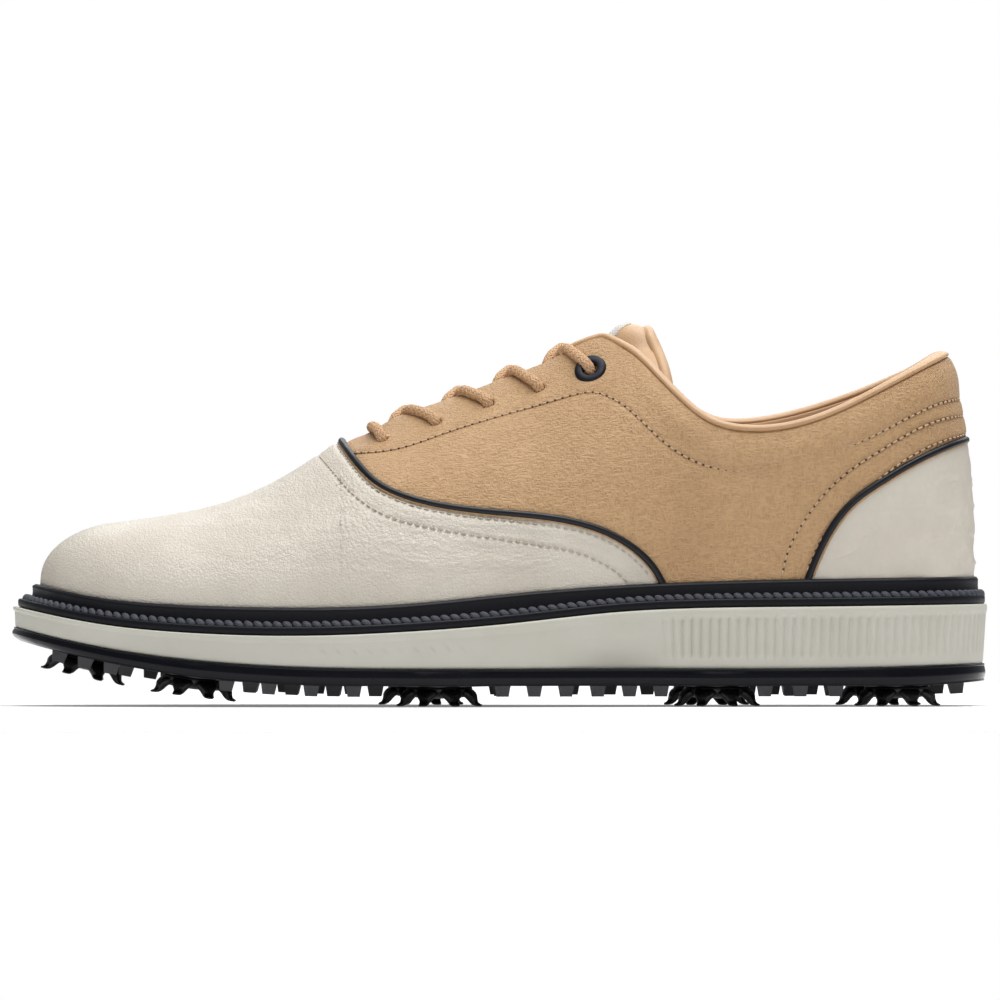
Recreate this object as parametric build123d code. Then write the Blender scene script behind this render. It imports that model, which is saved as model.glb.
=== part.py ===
from build123d import *
import os
from math import cos, hypot, pi, radians, sin, sqrt, tan

# Golf shoe, men's left, spiked, oxford pattern on a storm welt. Millimetres.
# -X is the toe, +X the heel, -Y the lateral (outer) side, +Y the medial side, +Z up.
# The origin is on the ground, under the middle of the sole's length and width.

# Sole stack
SOLE_GROW = 6.5
MIDSOLE_FOOT_GROW = 4.6
OUTSOLE_GROW = 4.9
FLANGE_GROW = 5.3
FLANGE_INNER_GROW = -8.0
STITCH_GROW = (2.7, 4.3)
FLANGE = 2.8
STITCH_HEIGHT = 1.2
RIB = 1.9
RIB_INNER = 0.4
TOE_GROW_SHARE = 1.31
HEEL_GROW_SHARE = 0.63
TREAD = 6.6
TOE_SPRING = 14.6
HEEL_RISE = 1.6
LUG_HEIGHT = 3.3
LUG_BASE = 5.0
LUG_TIP = 3.8

# Upper layers, as depths below the outer face of the leather
UPPER_TOE = -144.5
UPPER_HEEL = 148.9
LEATHER = 1.5
GAP = 0.12
LINING = 0.9
LINING_FACE = LEATHER + 2 * GAP
TOE_PUFF = 0.93
COLLAR_FILL = 2.2
PIPING_PROUD = 0.7
PIPING_HALF = 1.1
BINDING_PROUD = 0.5
BINDING_HEIGHT = 2.2

# Inside the shoe
INSOLE_BOARD = 2.0
SOCKLINER = 4.5
SHANK_FRONT = -10.0
SHANK_BACK = 105.0
SHANK_WIDTH = 18.0
SHANK_THICKNESS = 1.2

# Tongue
TONGUE_FRONT = -56.0
TONGUE_BACK = 56.0
TONGUE_COVER = 1.1
TONGUE_FOAM = 2.0
TONGUE_LINING = 0.8
TONGUE_BINDING = 1.8
TONGUE_HALF_FRONT = 17.0
TONGUE_HALF_BACK = 31.0
TONGUE_SHARE = 0.74
TONGUE_SIDE_DEPTH = 7.4
TONGUE_SHOULDER = (0.14, 0.31)
TONGUE_GAP = 0.15
TONGUE_END = [(44.2, 124.0), (47.2, 117.4), (50.1, 111.1), (52.6, 103.9), (53.6, 98.0), (53.9, 88.0),
              (53.9, 74.0)]
LABEL = 0.5
LABEL_X = 37.0
LABEL_R = 6.0

# Lacing
LACE_D = 3.0
LACE_ROOM = 0.1
HOLE_R = 2.6
EYELET_R = 4.8
EYELET_FLANGE = 0.8
EYELET_BARREL_R = 3.1
EYELET_BORE_R = 2.7
WASHER_R = 4.5
WASHER = 0.5
EYELET_LIFT = 0.12
EYELET_SAG = 0.5
OVER = 1.7
UNDER = -4.4
OVER_HOLE = 2.1
UNDER_HOLE = -4.9
EYELET_OVER = 3.1
CROSS_OVER = [(-3.2, 1.7), (2.0, 2.6)]
CROSS_UNDER = [(-2.0, -3.7), (3.2, -2.4)]
CROSS_REACH = 19.0
BAR_LEAN = 2.6
AGLET_R = 1.75
AGLET = 20.0
HOLES = [(-36.9, 83.8), (-20.1, 89.0), (-3.7, 94.8), (12.2, 99.8), (28.4, 105.3)]
THROAT_FRONT = -46.0
THROAT_BACK = 62.0
THROAT_HALF_FRONT = 6.0
THROAT_HALF_BACK = 9.5

# Lugs: rows inside each edge as (first x, pitch, count), and places between
LUG_INSET = 1.0
LATERAL_LUGS = [(-137.7, 8.2, 3), (-85.2, 13.2, 4), (0.8, 9.9, 6), (82.7, 11.1, 4), (137.4, 6.0, 1)]
MEDIAL_LUGS = [(-137.7, 8.2, 3), (-110.0, 10.5, 7), (-1.2, 11.9, 5), (86.0, 12.0, 2), (137.4, 6.0, 1)]
INNER_PITCH = 13.0
INNER_MARGIN = 12.0
WAIST = (12.0, 56.0)

# Cleats: where each one's axis meets the tread
CLEAT_TIP_R = 14.1
CLEAT_BASE_R = 9.8
STUD_R = 4.4
STUD_TOP = 5.0
STUD_CLEARANCE = 0.05
RECEPTACLE_R = 8.0
RECEPTACLE_FOOT = 0.6
RECEPTACLE_T = 5.2
BORE_DEPTH = 4.6
LEGS = 8
CLEATS = {
    "toe": (-129.8, 10.0),
    "front_lateral": (-95.2, -24.0),
    "ball_lateral": (-19.0, -31.0),
    "ball_medial": (-24.9, 31.0),
    "heel_front_lateral": (67.9, -20.0),
    "heel_front_medial": (65.0, 24.0),
    "heel_rear_lateral": (124.4, -13.0),
    "heel_rear_medial": (119.0, 22.0),
}


def smooth(*points):
    """A natural cubic spline through (x, value) points, as a function of x."""
    xs = [p[0] for p in points]
    ys = [p[1] for p in points]
    n = len(xs)
    h = [xs[i + 1] - xs[i] for i in range(n - 1)]
    slope = [(ys[i + 1] - ys[i]) / h[i] for i in range(n - 1)]
    diagonal = [1.0] + [2 * (h[i - 1] + h[i]) for i in range(1, n - 1)] + [1.0]
    right = [0.0] + [6 * (slope[i] - slope[i - 1]) for i in range(1, n - 1)] + [0.0]
    for i in range(2, n - 1):
        share = h[i - 1] / diagonal[i - 1]
        diagonal[i] -= share * h[i - 1]
        right[i] -= share * right[i - 1]
    bend = [0.0] * n
    for i in range(n - 2, 0, -1):
        bend[i] = (right[i] - h[i] * bend[i + 1]) / diagonal[i]

    def value(x):
        x = min(max(x, xs[0]), xs[-1])
        i = max(k for k in range(n - 1) if xs[k] <= x or k == 0)
        t = x - xs[i]
        return (
            ys[i]
            + t * (slope[i] - h[i] * (2 * bend[i] + bend[i + 1]) / 6)
            + t * t * bend[i] / 2
            + t**3 * (bend[i + 1] - bend[i]) / (6 * h[i])
        )

    return value


# Side profile: heights along the shoe
rib_top = smooth((-153, 40.0), (-126, 34.2), (-102, 32.0), (-70, 31.1), (-32, 32.0), (6, 35.6),
                 (44, 38.3), (96, 39.9), (153, 40.6))
flange_foot = smooth((-153, 31.4), (-126, 26.0), (-97, 23.2), (-65, 22.3), (-32, 23.4), (6, 26.4),
                     (35, 29.5), (63, 30.9), (95, 31.3), (153, 32.1))
midsole_foot = smooth((-153, 24.9), (-126, 18.8), (-97, 14.7), (-69, 12.7), (-32, 11.9), (44, 11.9),
                      (110, 12.1), (153, 13.4))
crown = smooth((-144.5, 55.0), (-126, 57.0), (-97, 61.3), (-78, 67.0), (-60, 77.0), (-45, 86.3),
               (-22, 95.6), (-3, 103.0), (16, 111.0), (32, 117.6), (46, 121.6), (65, 124.0), (100, 124.0),
               (148.9, 122.0))

# Plan: the crown line and the half widths of the upper on each side of it
crown_y = smooth((-144.5, 12.0), (-110, 9.5), (-84, 7.0), (-50, 5.0), (-25, 5.0), (0, 6.0), (25, 6.0),
                 (60, 5.0), (148.9, 4.0))
lateral_width = smooth((-144.5, 43.0), (-110, 47.0), (-84, 50.3), (-50, 54.3), (-25, 54.0), (0, 51.0),
                       (25, 45.5), (50, 40.0), (75, 37.0), (100, 34.5), (120, 32.0), (148.9, 29.0))
medial_width = smooth((-144.5, 25.0), (-110, 34.5), (-84, 40.8), (-62, 44.3), (-45, 43.0), (-20, 37.5),
                      (0, 31.8), (25, 28.2), (50, 29.3), (75, 31.6), (100, 33.5), (120, 32.0), (148.9, 29.0))

# Section shape: superellipse powers across and upwards, and the bulge of the wall
power_across = smooth((-144.5, 2.2), (-110, 2.2), (-60, 1.9), (-30, 1.6), (0, 1.55), (35, 1.6), (70, 1.9),
                      (148.9, 2.0))
power_up = smooth((-144.5, 2.1), (-110, 2.0), (-60, 1.8), (0, 1.75), (35, 2.1), (70, 3.0), (100, 3.2),
                  (148.9, 3.0))
wall_bulge = smooth((-144.5, 0.6), (-90, 1.2), (-40, 1.6), (20, 0.8), (70, 1.6), (110, 2.4), (148.9, 0.8))

# Seams and edges, seen from the side as (x, z)
VAMP_SEAM = [(54.8, 30.0), (51.9, 36.0), (48.5, 42.7), (43.8, 47.9), (34.4, 54.0), (20.0, 58.4), (0.0, 60.7),
             (-18.0, 62.9), (-31.5, 66.5), (-38.6, 70.2), (-44.0, 75.4), (-49.7, 83.2), (-53.5, 89.5)]
HEEL_SEAM = [(93.5, 30.0), (95.2, 36.0), (97.6, 43.0), (102.2, 53.0), (109.7, 63.1), (119.1, 70.1),
             (130.8, 77.0), (142.6, 82.2), (153.0, 85.6)]
COUNTER_EDGE = [(85.5, 30.0), (88.0, 40.0), (90.2, 49.0), (94.8, 57.6), (101.1, 66.1), (110.1, 74.3),
                (119.1, 80.1), (128.2, 85.5), (139.8, 90.1), (153.0, 92.5)]
TOPLINE = [(20.0, 118.5), (27.0, 117.4), (34.0, 115.9), (41.6, 112.2), (49.0, 105.0), (56.1, 97.7),
           (64.0, 91.4), (72.0, 88.5), (80.0, 87.8), (90.0, 88.7), (105.6, 93.6), (123.6, 102.6),
           (137.6, 109.8), (150.0, 116.0)]
MEDIAL_RISE = 3.5
MEDIAL_RISE_FROM = 52.0
MEDIAL_RISE_TO = 137.0
topline_curve = smooth(*TOPLINE)
tongue_crown = smooth((-58, 7.5), (8, 7.5), (22, 5.8), (34, 1.8), (40, 1.3), (46, 2.2), (56, 3.6))

TOE_CAP = (55.0, 2.4)
HEEL_CAP = (34.0, 2.3)
TOE_BOX = (24.0, 2.4)
HEEL_BACK = (20.0, 2.3)


def tread(x):
    """Height of the outsole's tread, which rises at the toe and a little at the heel."""
    toe = max(0.0, (-45.0 - x) / 108.0)
    heel = max(0.0, (x - 125.0) / 28.0)
    return TREAD + TOE_SPRING * toe**2.12 + HEEL_RISE * heel**2


def rounded(distance, shape):
    """0 at the tip of a rounded end, rising to 1 over its length."""
    length, power = shape
    t = min(max(distance / length, 0.0), 1.0)
    return (1 - (1 - t) ** power) ** (1 / power)


def slant(curve, x):
    """How much longer a curve's thickness is vertically (or across) than square to it."""
    step = 1.0
    return sqrt(1 + ((curve(x + step) - curve(x - step)) / (2 * step)) ** 2)


def half_width(x, side, depth):
    """From the crown line to the wall at the feather; side is -1 lateral, +1 medial."""
    curve = lateral_width if side < 0 else medial_width
    ends = rounded(x - UPPER_TOE - depth, TOE_CAP) * rounded(UPPER_HEEL - depth - x, HEEL_CAP)
    return (curve(x) - depth * slant(curve, x)) * ends


def crown_height(x, depth):
    """Height of the crown over the rib's top."""
    ends = rounded(x - UPPER_TOE - depth, TOE_BOX) * rounded(UPPER_HEEL - depth - x, HEEL_BACK)
    return (crown(x) - depth * slant(crown, x) - rib_top(x)) * ends


def upper_point(x, angle, depth):
    """A point of the upper: angle 0 is the lateral feather, pi/2 the crown, pi the medial feather."""
    side = -1 if angle < pi / 2 else 1
    across = abs(cos(angle)) ** (2 / power_across(x))
    up = abs(sin(angle)) ** (2 / power_up(x))
    reach = half_width(x, side, depth)
    bulge = wall_bulge(x) * abs(sin(2 * angle)) * min(1.0, reach / 25)
    return (x, crown_y(x) + side * (reach * across + bulge), rib_top(x) + crown_height(x, depth) * up)


def upper_where(x, side, test, depth=0.0):
    """The angle on one side of a section where a test of its point turns true, going down from the crown."""
    low, high = (0.0, pi / 2) if side < 0 else (pi / 2, pi)
    crown_end, feather_end = (high, low) if side < 0 else (low, high)
    for _ in range(40):
        middle = (crown_end + feather_end) / 2
        if test(upper_point(x, middle, depth)):
            feather_end = middle
        else:
            crown_end = middle
    return (crown_end + feather_end) / 2


def upper_normal(x, angle):
    """The outward unit normal of the upper's outer face."""
    e = 1e-3
    along = Vector(*upper_point(x + e, angle, 0)) - Vector(*upper_point(x - e, angle, 0))
    around = Vector(*upper_point(x, angle + e, 0)) - Vector(*upper_point(x, angle - e, 0))
    return along.cross(around).normalized()


def upper_off(x, angle, height):
    """A point square to the upper's face, height above it, or under it if negative."""
    return Vector(*upper_point(x, angle, 0)) + upper_normal(x, angle) * height


def stations(toe_depth, heel_depth):
    """Section places, closer together at the rounded ends."""
    first, last = UPPER_TOE + toe_depth + 0.25, UPPER_HEEL - heel_depth - 0.25
    toe = [first + 46 * (1 - cos(radians(a))) for a in (0, 9, 19, 30, 42, 54, 66, 78)]
    heel = [last - 30 * (1 - cos(radians(a))) for a in (78, 62, 48, 35, 23, 11, 0)]
    count = 11
    middle = [toe[-1] + (heel[0] - toe[-1]) * (i + 1) / (count + 1) for i in range(count)]
    return toe + middle + heel


LOW = 9.0
TOOL_LOW = 13.0
ANGLES = [pi * i / 20 for i in range(21)]


def ramp(x, start, end):
    """0 before start, 1 after end, easing between."""
    t = min(max((x - start) / (end - start), 0.0), 1.0)
    return t * t * (3 - 2 * t)


def filling(x):
    """Room between the leather and the lining: the toe puff in front, the foam and the counter behind."""
    toe = (TOE_PUFF + GAP) * (1 - ramp(x, -100, -90))
    return toe + (COLLAR_FILL + GAP) * ramp(x, 36, 54)


def last_solid(depth, filled=False, low=LOW):
    """The space inside a face at a depth under the upper's outer face, closed below the rib's top."""
    extra = filling if filled else lambda x: 0.0
    sections = []
    for x in stations(depth + extra(UPPER_TOE), depth + extra(UPPER_HEEL)):
        arc = [upper_point(x, a, depth + extra(x)) for a in ANGLES]
        foot = rib_top(x) - low
        points = [(x, arc[0][1], foot)] + arc + [(x, arc[-1][1], foot)]
        across = Edge.make_spline(points, parameters=[i / (len(points) - 1) for i in range(len(points))])
        sections.append(Wire([across, Edge.make_line(across @ 1, across @ 0)]))
    return Solid.make_loft(sections)


# Cutting tools
Y_REACH = 90.0


def side_prism(*edges, y_from=-Y_REACH, y_to=Y_REACH):
    """A side-view outline in the plane y = 0, pushed out across the shoe."""
    face = Face(Wire(list(edges))).moved(Location((0, y_from, 0)))
    return Solid.extrude(face, Vector(0, y_to - y_from, 0))


def in_side_view(points):
    return [(x, 0, z) for x, z in points]


def side_lines(points):
    line = in_side_view(points)
    return [Edge.make_line(a, b) for a, b in zip(line, line[1:])]


def shifted(points, distance):
    """The same side-view curve moved to its left by a distance."""
    moved = []
    for i, (x, z) in enumerate(points):
        before, after = points[max(i - 1, 0)], points[min(i + 1, len(points) - 1)]
        dx, dz = after[0] - before[0], after[1] - before[1]
        size = hypot(dx, dz)
        moved.append((x - dz / size * distance, z + dx / size * distance))
    return moved


def beside_curve(points, corners):
    """The prism between a side-view curve and straight lines through the corners, back to its start."""
    curve = Edge.make_spline(in_side_view(points))
    return side_prism(curve, *side_lines([points[-1], *corners, points[0]]))


def band(points, left, right):
    """The prism of a strip along a side-view curve, between two distances to its left."""
    a, b = shifted(points, left), shifted(points, right)
    return side_prism(
        Edge.make_spline(in_side_view(a)),
        *side_lines([a[-1], b[-1]]),
        Edge.make_spline(in_side_view(b[::-1])),
        *side_lines([b[0], a[0]]),
    )


def height_slab(lower, upper, first=-158.0, last=158.0, count=22, **span):
    """The space between two heights that change along the shoe."""
    xs = [first + (last - first) * i / (count - 1) for i in range(count)]
    low = Edge.make_spline([(x, 0, lower(x)) for x in xs])
    high = Edge.make_spline([(x, 0, upper(x)) for x in reversed(xs)])
    return side_prism(low, Edge.make_line(low @ 1, high @ 0), high, Edge.make_line(high @ 1, low @ 0), **span)


def outline_point(angle, grow):
    """A point of a plan outline that stands out from the upper by grow; angle 0 is the toe, pi the heel."""
    toe = UPPER_TOE - grow * TOE_GROW_SHARE
    heel = UPPER_HEEL + grow * HEEL_GROW_SHARE
    x = (toe + heel) / 2 - (heel - toe) / 2 * cos(angle)
    side = -1 if angle < pi else 1
    curve = lateral_width if side < 0 else medial_width
    toe_end = rounded(x - toe, (TOE_CAP[0] + grow, TOE_CAP[1]))
    heel_end = rounded(heel - x, (HEEL_CAP[0] + grow, HEEL_CAP[1]))
    return x, crown_y(x) + side * (curve(x) + grow) * toe_end * heel_end


def plan_wire(grow, z, count=56):
    points = [outline_point(2 * pi * i / count, grow) for i in range(count)]
    return Wire([Edge.make_spline([(x, y, z) for x, y in points], periodic=True)])


def plan_prism(grow, low=-10.0, high=70.0):
    return Solid.extrude(Face(plan_wire(grow, low)), Vector(0, 0, high - low))


def largest(shape):
    return max(shape.solids(), key=lambda s: s.volume)


def save(name, *shapes):
    """Writes one node as a STEP file, as one solid or a group of separate ones."""
    solids = [s for shape in shapes for s in shape.solids()]
    export_step(Compound(children=solids) if len(solids) > 1 else solids[0], f"parts/{name}.step")


# Heights of the sole's layers
SKIN = 0.05


def flange_top(x):
    return flange_foot(x) + FLANGE


def topline(x, side=-1):
    """Height of the collar's edge; the medial side stands a little higher."""
    rise = 0.0
    if side > 0 and MEDIAL_RISE_FROM < x < MEDIAL_RISE_TO:
        share = (x - MEDIAL_RISE_FROM) / (MEDIAL_RISE_TO - MEDIAL_RISE_FROM)
        rise = MEDIAL_RISE * sin(pi * share) ** 2
    return topline_curve(x) + rise


def above_topline(drop):
    """The space above the collar's edge less a drop, for both sides."""
    middle = crown_y(UPPER_HEEL)
    halves = []
    for side, y_from, y_to in ((-1, -Y_REACH, middle), (1, middle, Y_REACH)):
        edge = lambda x: topline(x, side) - drop * slant(topline_curve, x)
        first, last = TOPLINE[0][0], TOPLINE[-1][0]
        halves.append(height_slab(edge, lambda x: 150.0, first, last, 26, y_from=y_from, y_to=y_to))
    return halves


def throat_slot():
    """The open gap between the two facings, as an upright prism."""
    front = THROAT_FRONT + THROAT_HALF_FRONT
    xs = [front, -12.0, 24.0, THROAT_BACK]
    edges = []
    for side in (-1, 1):
        points = [(x, crown_y(x) + side * throat_half(x), 40) for x in xs]
        edges.append(Edge.make_spline(points))
    lateral, medial = edges
    nose = Edge.make_three_point_arc(lateral @ 0, (THROAT_FRONT, crown_y(THROAT_FRONT), 40), medial @ 0)
    face = Face(Wire([lateral, medial, nose, Edge.make_line(lateral @ 1, medial @ 1)]))
    return Solid.extrude(face, Vector(0, 0, 110))


def build_upper():
    """The leather panels, their edges and the layers inside them."""
    outer = last_solid(0)
    leather_inside = last_solid(LEATHER, low=TOOL_LOW)
    fill_outside = last_solid(LEATHER + GAP)
    fill_inside = last_solid(LEATHER, filled=True, low=TOOL_LOW)
    lining_outside = last_solid(LINING_FACE, filled=True)
    lining_inside = last_solid(LINING_FACE + LINING, filled=True, low=TOOL_LOW)
    above_welt = height_slab(lambda x: flange_top(x) + SKIN, lambda x: 150.0)
    above_edge = above_topline(BINDING_HEIGHT + GAP)
    slot = throat_slot()

    leather = (outer - leather_inside) & above_welt
    clear = PIPING_HALF + GAP
    vamp_cut = beside_curve(shifted(VAMP_SEAM, clear), [(-165, 89.5), (-165, 5), (54.8, 5)])
    heel_cut = beside_curve(shifted(HEEL_SEAM, -clear), [(165, 85.6), (165, 5), (93.5, 5)])
    front, back = shifted(VAMP_SEAM, -clear), shifted(HEEL_SEAM, clear)
    quarter_cut = side_prism(
        Edge.make_spline(in_side_view(front)),
        *side_lines([front[-1], (-53.5, 150), (165, 150), back[-1]]),
        Edge.make_spline(in_side_view(back[::-1])),
        *side_lines([back[0], front[0]]),
    )
    save("vamp", largest(leather & vamp_cut))
    save("heel_cap", largest(leather & heel_cut))
    quarters = (leather & quarter_cut) - slot
    quarters = quarters - above_edge
    room = lace_room()
    for side, name in ((-1, "lateral"), (1, "medial")):
        align = Align.MAX if side < 0 else Align.MIN
        middle = Box(320, Y_REACH, 160, align=(Align.CENTER, align, Align.MIN))
        half = quarters & middle.moved(Location((0, crown_y(UPPER_HEEL) + side * SKIN, 0)))
        save(f"quarter_{name}", largest(largest(half) - [*lace_holes(side), room]))

    proud = (last_solid(-PIPING_PROUD) - leather_inside) & above_welt
    rib_room = plan_prism(RIB + 1) - plan_prism(RIB_INNER - SKIN)
    rib_room = rib_room & height_slab(lambda x: 0.0, lambda x: rib_top(x) + SKIN)
    save("vamp_piping", largest((proud & band(VAMP_SEAM, PIPING_HALF, -PIPING_HALF)) - rib_room))
    save("heel_piping", largest((proud & band(HEEL_SEAM, PIPING_HALF, -PIPING_HALF)) - rib_room))

    fill = (fill_outside - fill_inside) & above_welt
    save("toe_puff", largest(fill & Box(60, 160, 160).moved(Location((-132, 0, 60)))))
    stiffener_cut = beside_curve(shifted(COUNTER_EDGE, -GAP), [(165, 92.5), (165, 5), (85.5, 5)])
    save("heel_stiffener", largest(fill & stiffener_cut))
    edge = shifted(COUNTER_EDGE, GAP)
    foam_cut = side_prism(
        Edge.make_spline(in_side_view(edge)),
        *side_lines([edge[-1], (165, 150), (50, 150), (50, 5), edge[0]]),
    )
    save("collar_foam", largest((fill & foam_cut) - above_edge))

    lining = (lining_outside - lining_inside) & above_welt
    split = -49.0
    save("vamp_lining", largest(lining & Box(120, 160, 160).moved(Location((split - SKIN - 60, 0, 60)))))
    rear = lining & Box(210, 160, 160).moved(Location((split + SKIN + 105, 0, 60)))
    rear = rear - [slot, *above_edge, *lace_holes(-1), *lace_holes(1)]
    save("quarter_lining", largest(largest(rear) - room))

    rim = last_solid(-BINDING_PROUD) - lining_inside
    low, high = above_topline(BINDING_HEIGHT), above_topline(0)
    save("topline_binding", largest((rim & (low[0] + low[1])) - [slot, *high]))


def build_inside():
    """The insole board and the sockliner, which lie on the welt's level inside the lining."""
    room = last_solid(LINING_FACE + LINING + 0.3, filled=True)
    board_top = FLANGE + 2 * SKIN + INSOLE_BOARD
    board = height_slab(lambda x: flange_top(x) + 2 * SKIN, lambda x: flange_foot(x) + board_top)
    liner = height_slab(
        lambda x: flange_foot(x) + board_top + SKIN,
        lambda x: flange_foot(x) + board_top + SKIN + SOCKLINER,
    )
    save("insole_board", largest(room & board))
    save("sockliner", largest(room & liner))


def build_tongue():
    """Cover, foam and lining in layers, a bound end and a label, in a channel under the facings."""
    layers = {
        "tongue": (0.0, TONGUE_COVER),
        "tongue_foam": (TONGUE_COVER + TONGUE_GAP, TONGUE_FOAM),
        "tongue_lining": (TONGUE_COVER + TONGUE_FOAM + 2 * TONGUE_GAP, TONGUE_LINING),
    }
    end = shifted(TONGUE_END, -TONGUE_BINDING - SKIN)
    kept = beside_curve(end, [(end[-1][0], 30), (-70, 30), (-70, 140)])
    room = lace_room()
    for name, (depth, thickness) in layers.items():
        layer = largest(tongue_layer(depth, thickness) & kept)
        save(name, largest(layer - room))
    whole = tongue_layer(-0.25, TONGUE_COVER + TONGUE_FOAM + TONGUE_LINING + 0.8, 0.6)
    save("tongue_binding", largest(whole & band(TONGUE_END, 0, -TONGUE_BINDING)))
    patch = Cylinder(LABEL_R, 30).moved(Location((LABEL_X, crown_y(LABEL_X), 118)))
    save("tongue_label", largest(tongue_layer(-LABEL - SKIN, LABEL) & patch))


def tongue_depth(x, away):
    """How far the tongue's face lies under the upper's, at a share away from the crown line."""
    crown_line = tongue_crown(x)
    return crown_line + (max(crown_line, TONGUE_SIDE_DEPTH) - crown_line) * ramp(away, *TONGUE_SHOULDER)


def tongue_edges(x, grow):
    """The angles of the tongue's two edges in a section, each moved out by some distance."""
    half = TONGUE_HALF_FRONT + (TONGUE_HALF_BACK - TONGUE_HALF_FRONT) * ramp(x, -60, 30)
    lateral = min(half, TONGUE_SHARE * half_width(x, -1, TONGUE_SIDE_DEPTH)) + grow
    medial = min(half, TONGUE_SHARE * half_width(x, 1, TONGUE_SIDE_DEPTH)) + grow
    low = upper_where(x, -1, lambda p: p[1] < crown_y(x) - lateral, TONGUE_SIDE_DEPTH)
    high = upper_where(x, 1, lambda p: p[1] > crown_y(x) + medial, TONGUE_SIDE_DEPTH)
    return low, high


def tongue_layer(depth, thickness, grow=0.0):
    """One layer of the tongue, as a loft through strips of the upper's sections."""
    count = 13
    sections = []
    places = [TONGUE_FRONT + (TONGUE_BACK - TONGUE_FRONT) * i / 12 for i in range(13)]
    for x in places:
        first, last = tongue_edges(x, 0.0)
        low, high = tongue_edges(x, grow)
        rows = ([], [])
        for i in range(count):
            angle = low + (high - low) * i / (count - 1)
            away = abs(2 * (angle - first) / (last - first) - 1)
            face = tongue_depth(x, away) + depth
            rows[0].append(upper_point(x, angle, face))
            rows[1].append(upper_point(x, angle, face + thickness))
        spread = [i / (count - 1) for i in range(count)]
        top = Edge.make_spline(rows[0], parameters=spread)
        under = Edge.make_spline(rows[1][::-1], parameters=spread)
        ends = Edge.make_line(top @ 1, under @ 0), Edge.make_line(under @ 1, top @ 0)
        sections.append(Wire([top, ends[0], under, ends[1]]))
    return Solid.make_loft(sections)


def hole_frame(row, side):
    """The plane at a lace hole, with its z out of the shoe, and the hole's angle in its section."""
    x, z = HOLES[row]
    angle = upper_where(x, side, lambda p: p[2] < z)
    return Plane(origin=upper_off(x, angle, 0), z_dir=upper_normal(x, angle)), angle


def lace_holes(side):
    """Cutters for the holes of one facing; the top one takes a metal eyelet."""
    radii = [HOLE_R] * (len(HOLES) - 1) + [EYELET_BARREL_R + SKIN]
    return [hole_frame(row, side)[0] * Cylinder(r, 16) for row, r in enumerate(radii)]


def build_eyelets():
    """A flanged barrel through each top hole, with a washer inside the shoe."""
    washer_face = LINING_FACE + LINING + EYELET_SAG
    washers = []
    for side, name in ((-1, "lateral"), (1, "medial")):
        plane, _ = hole_frame(len(HOLES) - 1, side)
        low, up = -washer_face - WASHER, EYELET_LIFT + EYELET_FLANGE
        profile = Polyline(
            (EYELET_BORE_R, low), (EYELET_BARREL_R, low), (EYELET_BARREL_R, EYELET_LIFT),
            (EYELET_R, EYELET_LIFT), (EYELET_R, up - 0.4), (EYELET_R - 0.5, up),
            (EYELET_BORE_R + 0.5, up), (EYELET_BORE_R, up - 0.5), close=True,
        )
        ring = revolve(make_face(Plane.XZ * profile), axis=Axis.Z)
        save(f"eyelet_{name}", plane * ring.solid())
        washer = Cylinder(WASHER_R, WASHER) - Cylinder(EYELET_BARREL_R + SKIN, WASHER)
        washers.append((plane * Pos(0, 0, low + WASHER / 2) * washer).solid())
    save("eyelet_washers", *washers)


def lace_route():
    """The lace's points from one tucked end to the other: a bar over the first row, then crossing up."""
    return lace_half(1)[::-1] + lace_half(-1)


def lace_half(side):
    """From the middle of the first row's bar, down through its hole and up the throat to a tucked end."""
    x, _ = HOLES[0]
    _, angle = hole_frame(0, side)
    lean = x - BAR_LEAN
    points = [
        upper_off(lean, edge_angle(lean, side), OVER),
        upper_off((x + lean) / 2, (edge_angle(x, side) + angle) / 2, OVER + 0.1),
    ]
    points += hole_turn(0, side, OVER_HOLE, UNDER_HOLE)
    over = side < 0
    for row in range(1, len(HOLES)):
        points += crossing(row, side, over)
        side = -side
        over = not over
    return points + tucked_end(side)


def throat_half(x):
    """Half the width of the gap between the facings."""
    share = (x - THROAT_FRONT) / (THROAT_BACK - THROAT_FRONT)
    return THROAT_HALF_FRONT + (THROAT_HALF_BACK - THROAT_HALF_FRONT) * share


def edge_angle(x, side):
    """The angle of the facing's edge in a section."""
    half = throat_half(x)
    return upper_where(x, side, lambda p: side * (p[1] - crown_y(x)) > half)


def hole_turn(row, side, over, under):
    """Down through a hole, from over the facing to under it."""
    x, _ = HOLES[row]
    _, angle = hole_frame(row, side)
    return [upper_off(x, angle, over), upper_off(x, angle, under)]


def crossing(row, side, over):
    """From under one facing, up through the gap and over the other facing to its next hole."""
    x0, x1 = HOLES[row - 1][0], HOLES[row][0]
    _, start = hole_frame(row - 1, side)
    _, finish = hole_frame(row, -side)
    middle = (x0 + x1) / 2 - BAR_LEAN
    half = throat_half(middle)
    drift = (x1 - x0) / 2 / CROSS_REACH
    climb = CROSS_OVER if over else CROSS_UNDER
    before, after = middle - drift * half, middle + drift * half
    points = []
    if side < 0:
        points.append(upper_off((before + x0) / 2, (start + edge_angle(before, side)) / 2, UNDER))
    for along, height in ((1.3 - half, UNDER - 1.2), *climb, (half - 0.6, 1.0)):
        x = middle + drift * along
        points.append(Vector(x, crown_y(x) - side * along, crown(x) + height))
    last = row == len(HOLES) - 1
    lift = EYELET_OVER - OVER_HOLE if last else 0.0
    if side > 0 or last:
        beside = (edge_angle(after, -side) + finish) / 2
        points.append(upper_off((after + x1) / 2, beside, OVER + 0.1 + 0.9 * lift))
    return points + hole_turn(row, -side, OVER_HOLE + lift, UNDER_HOLE - (0.6 if last else 0.0))


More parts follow.
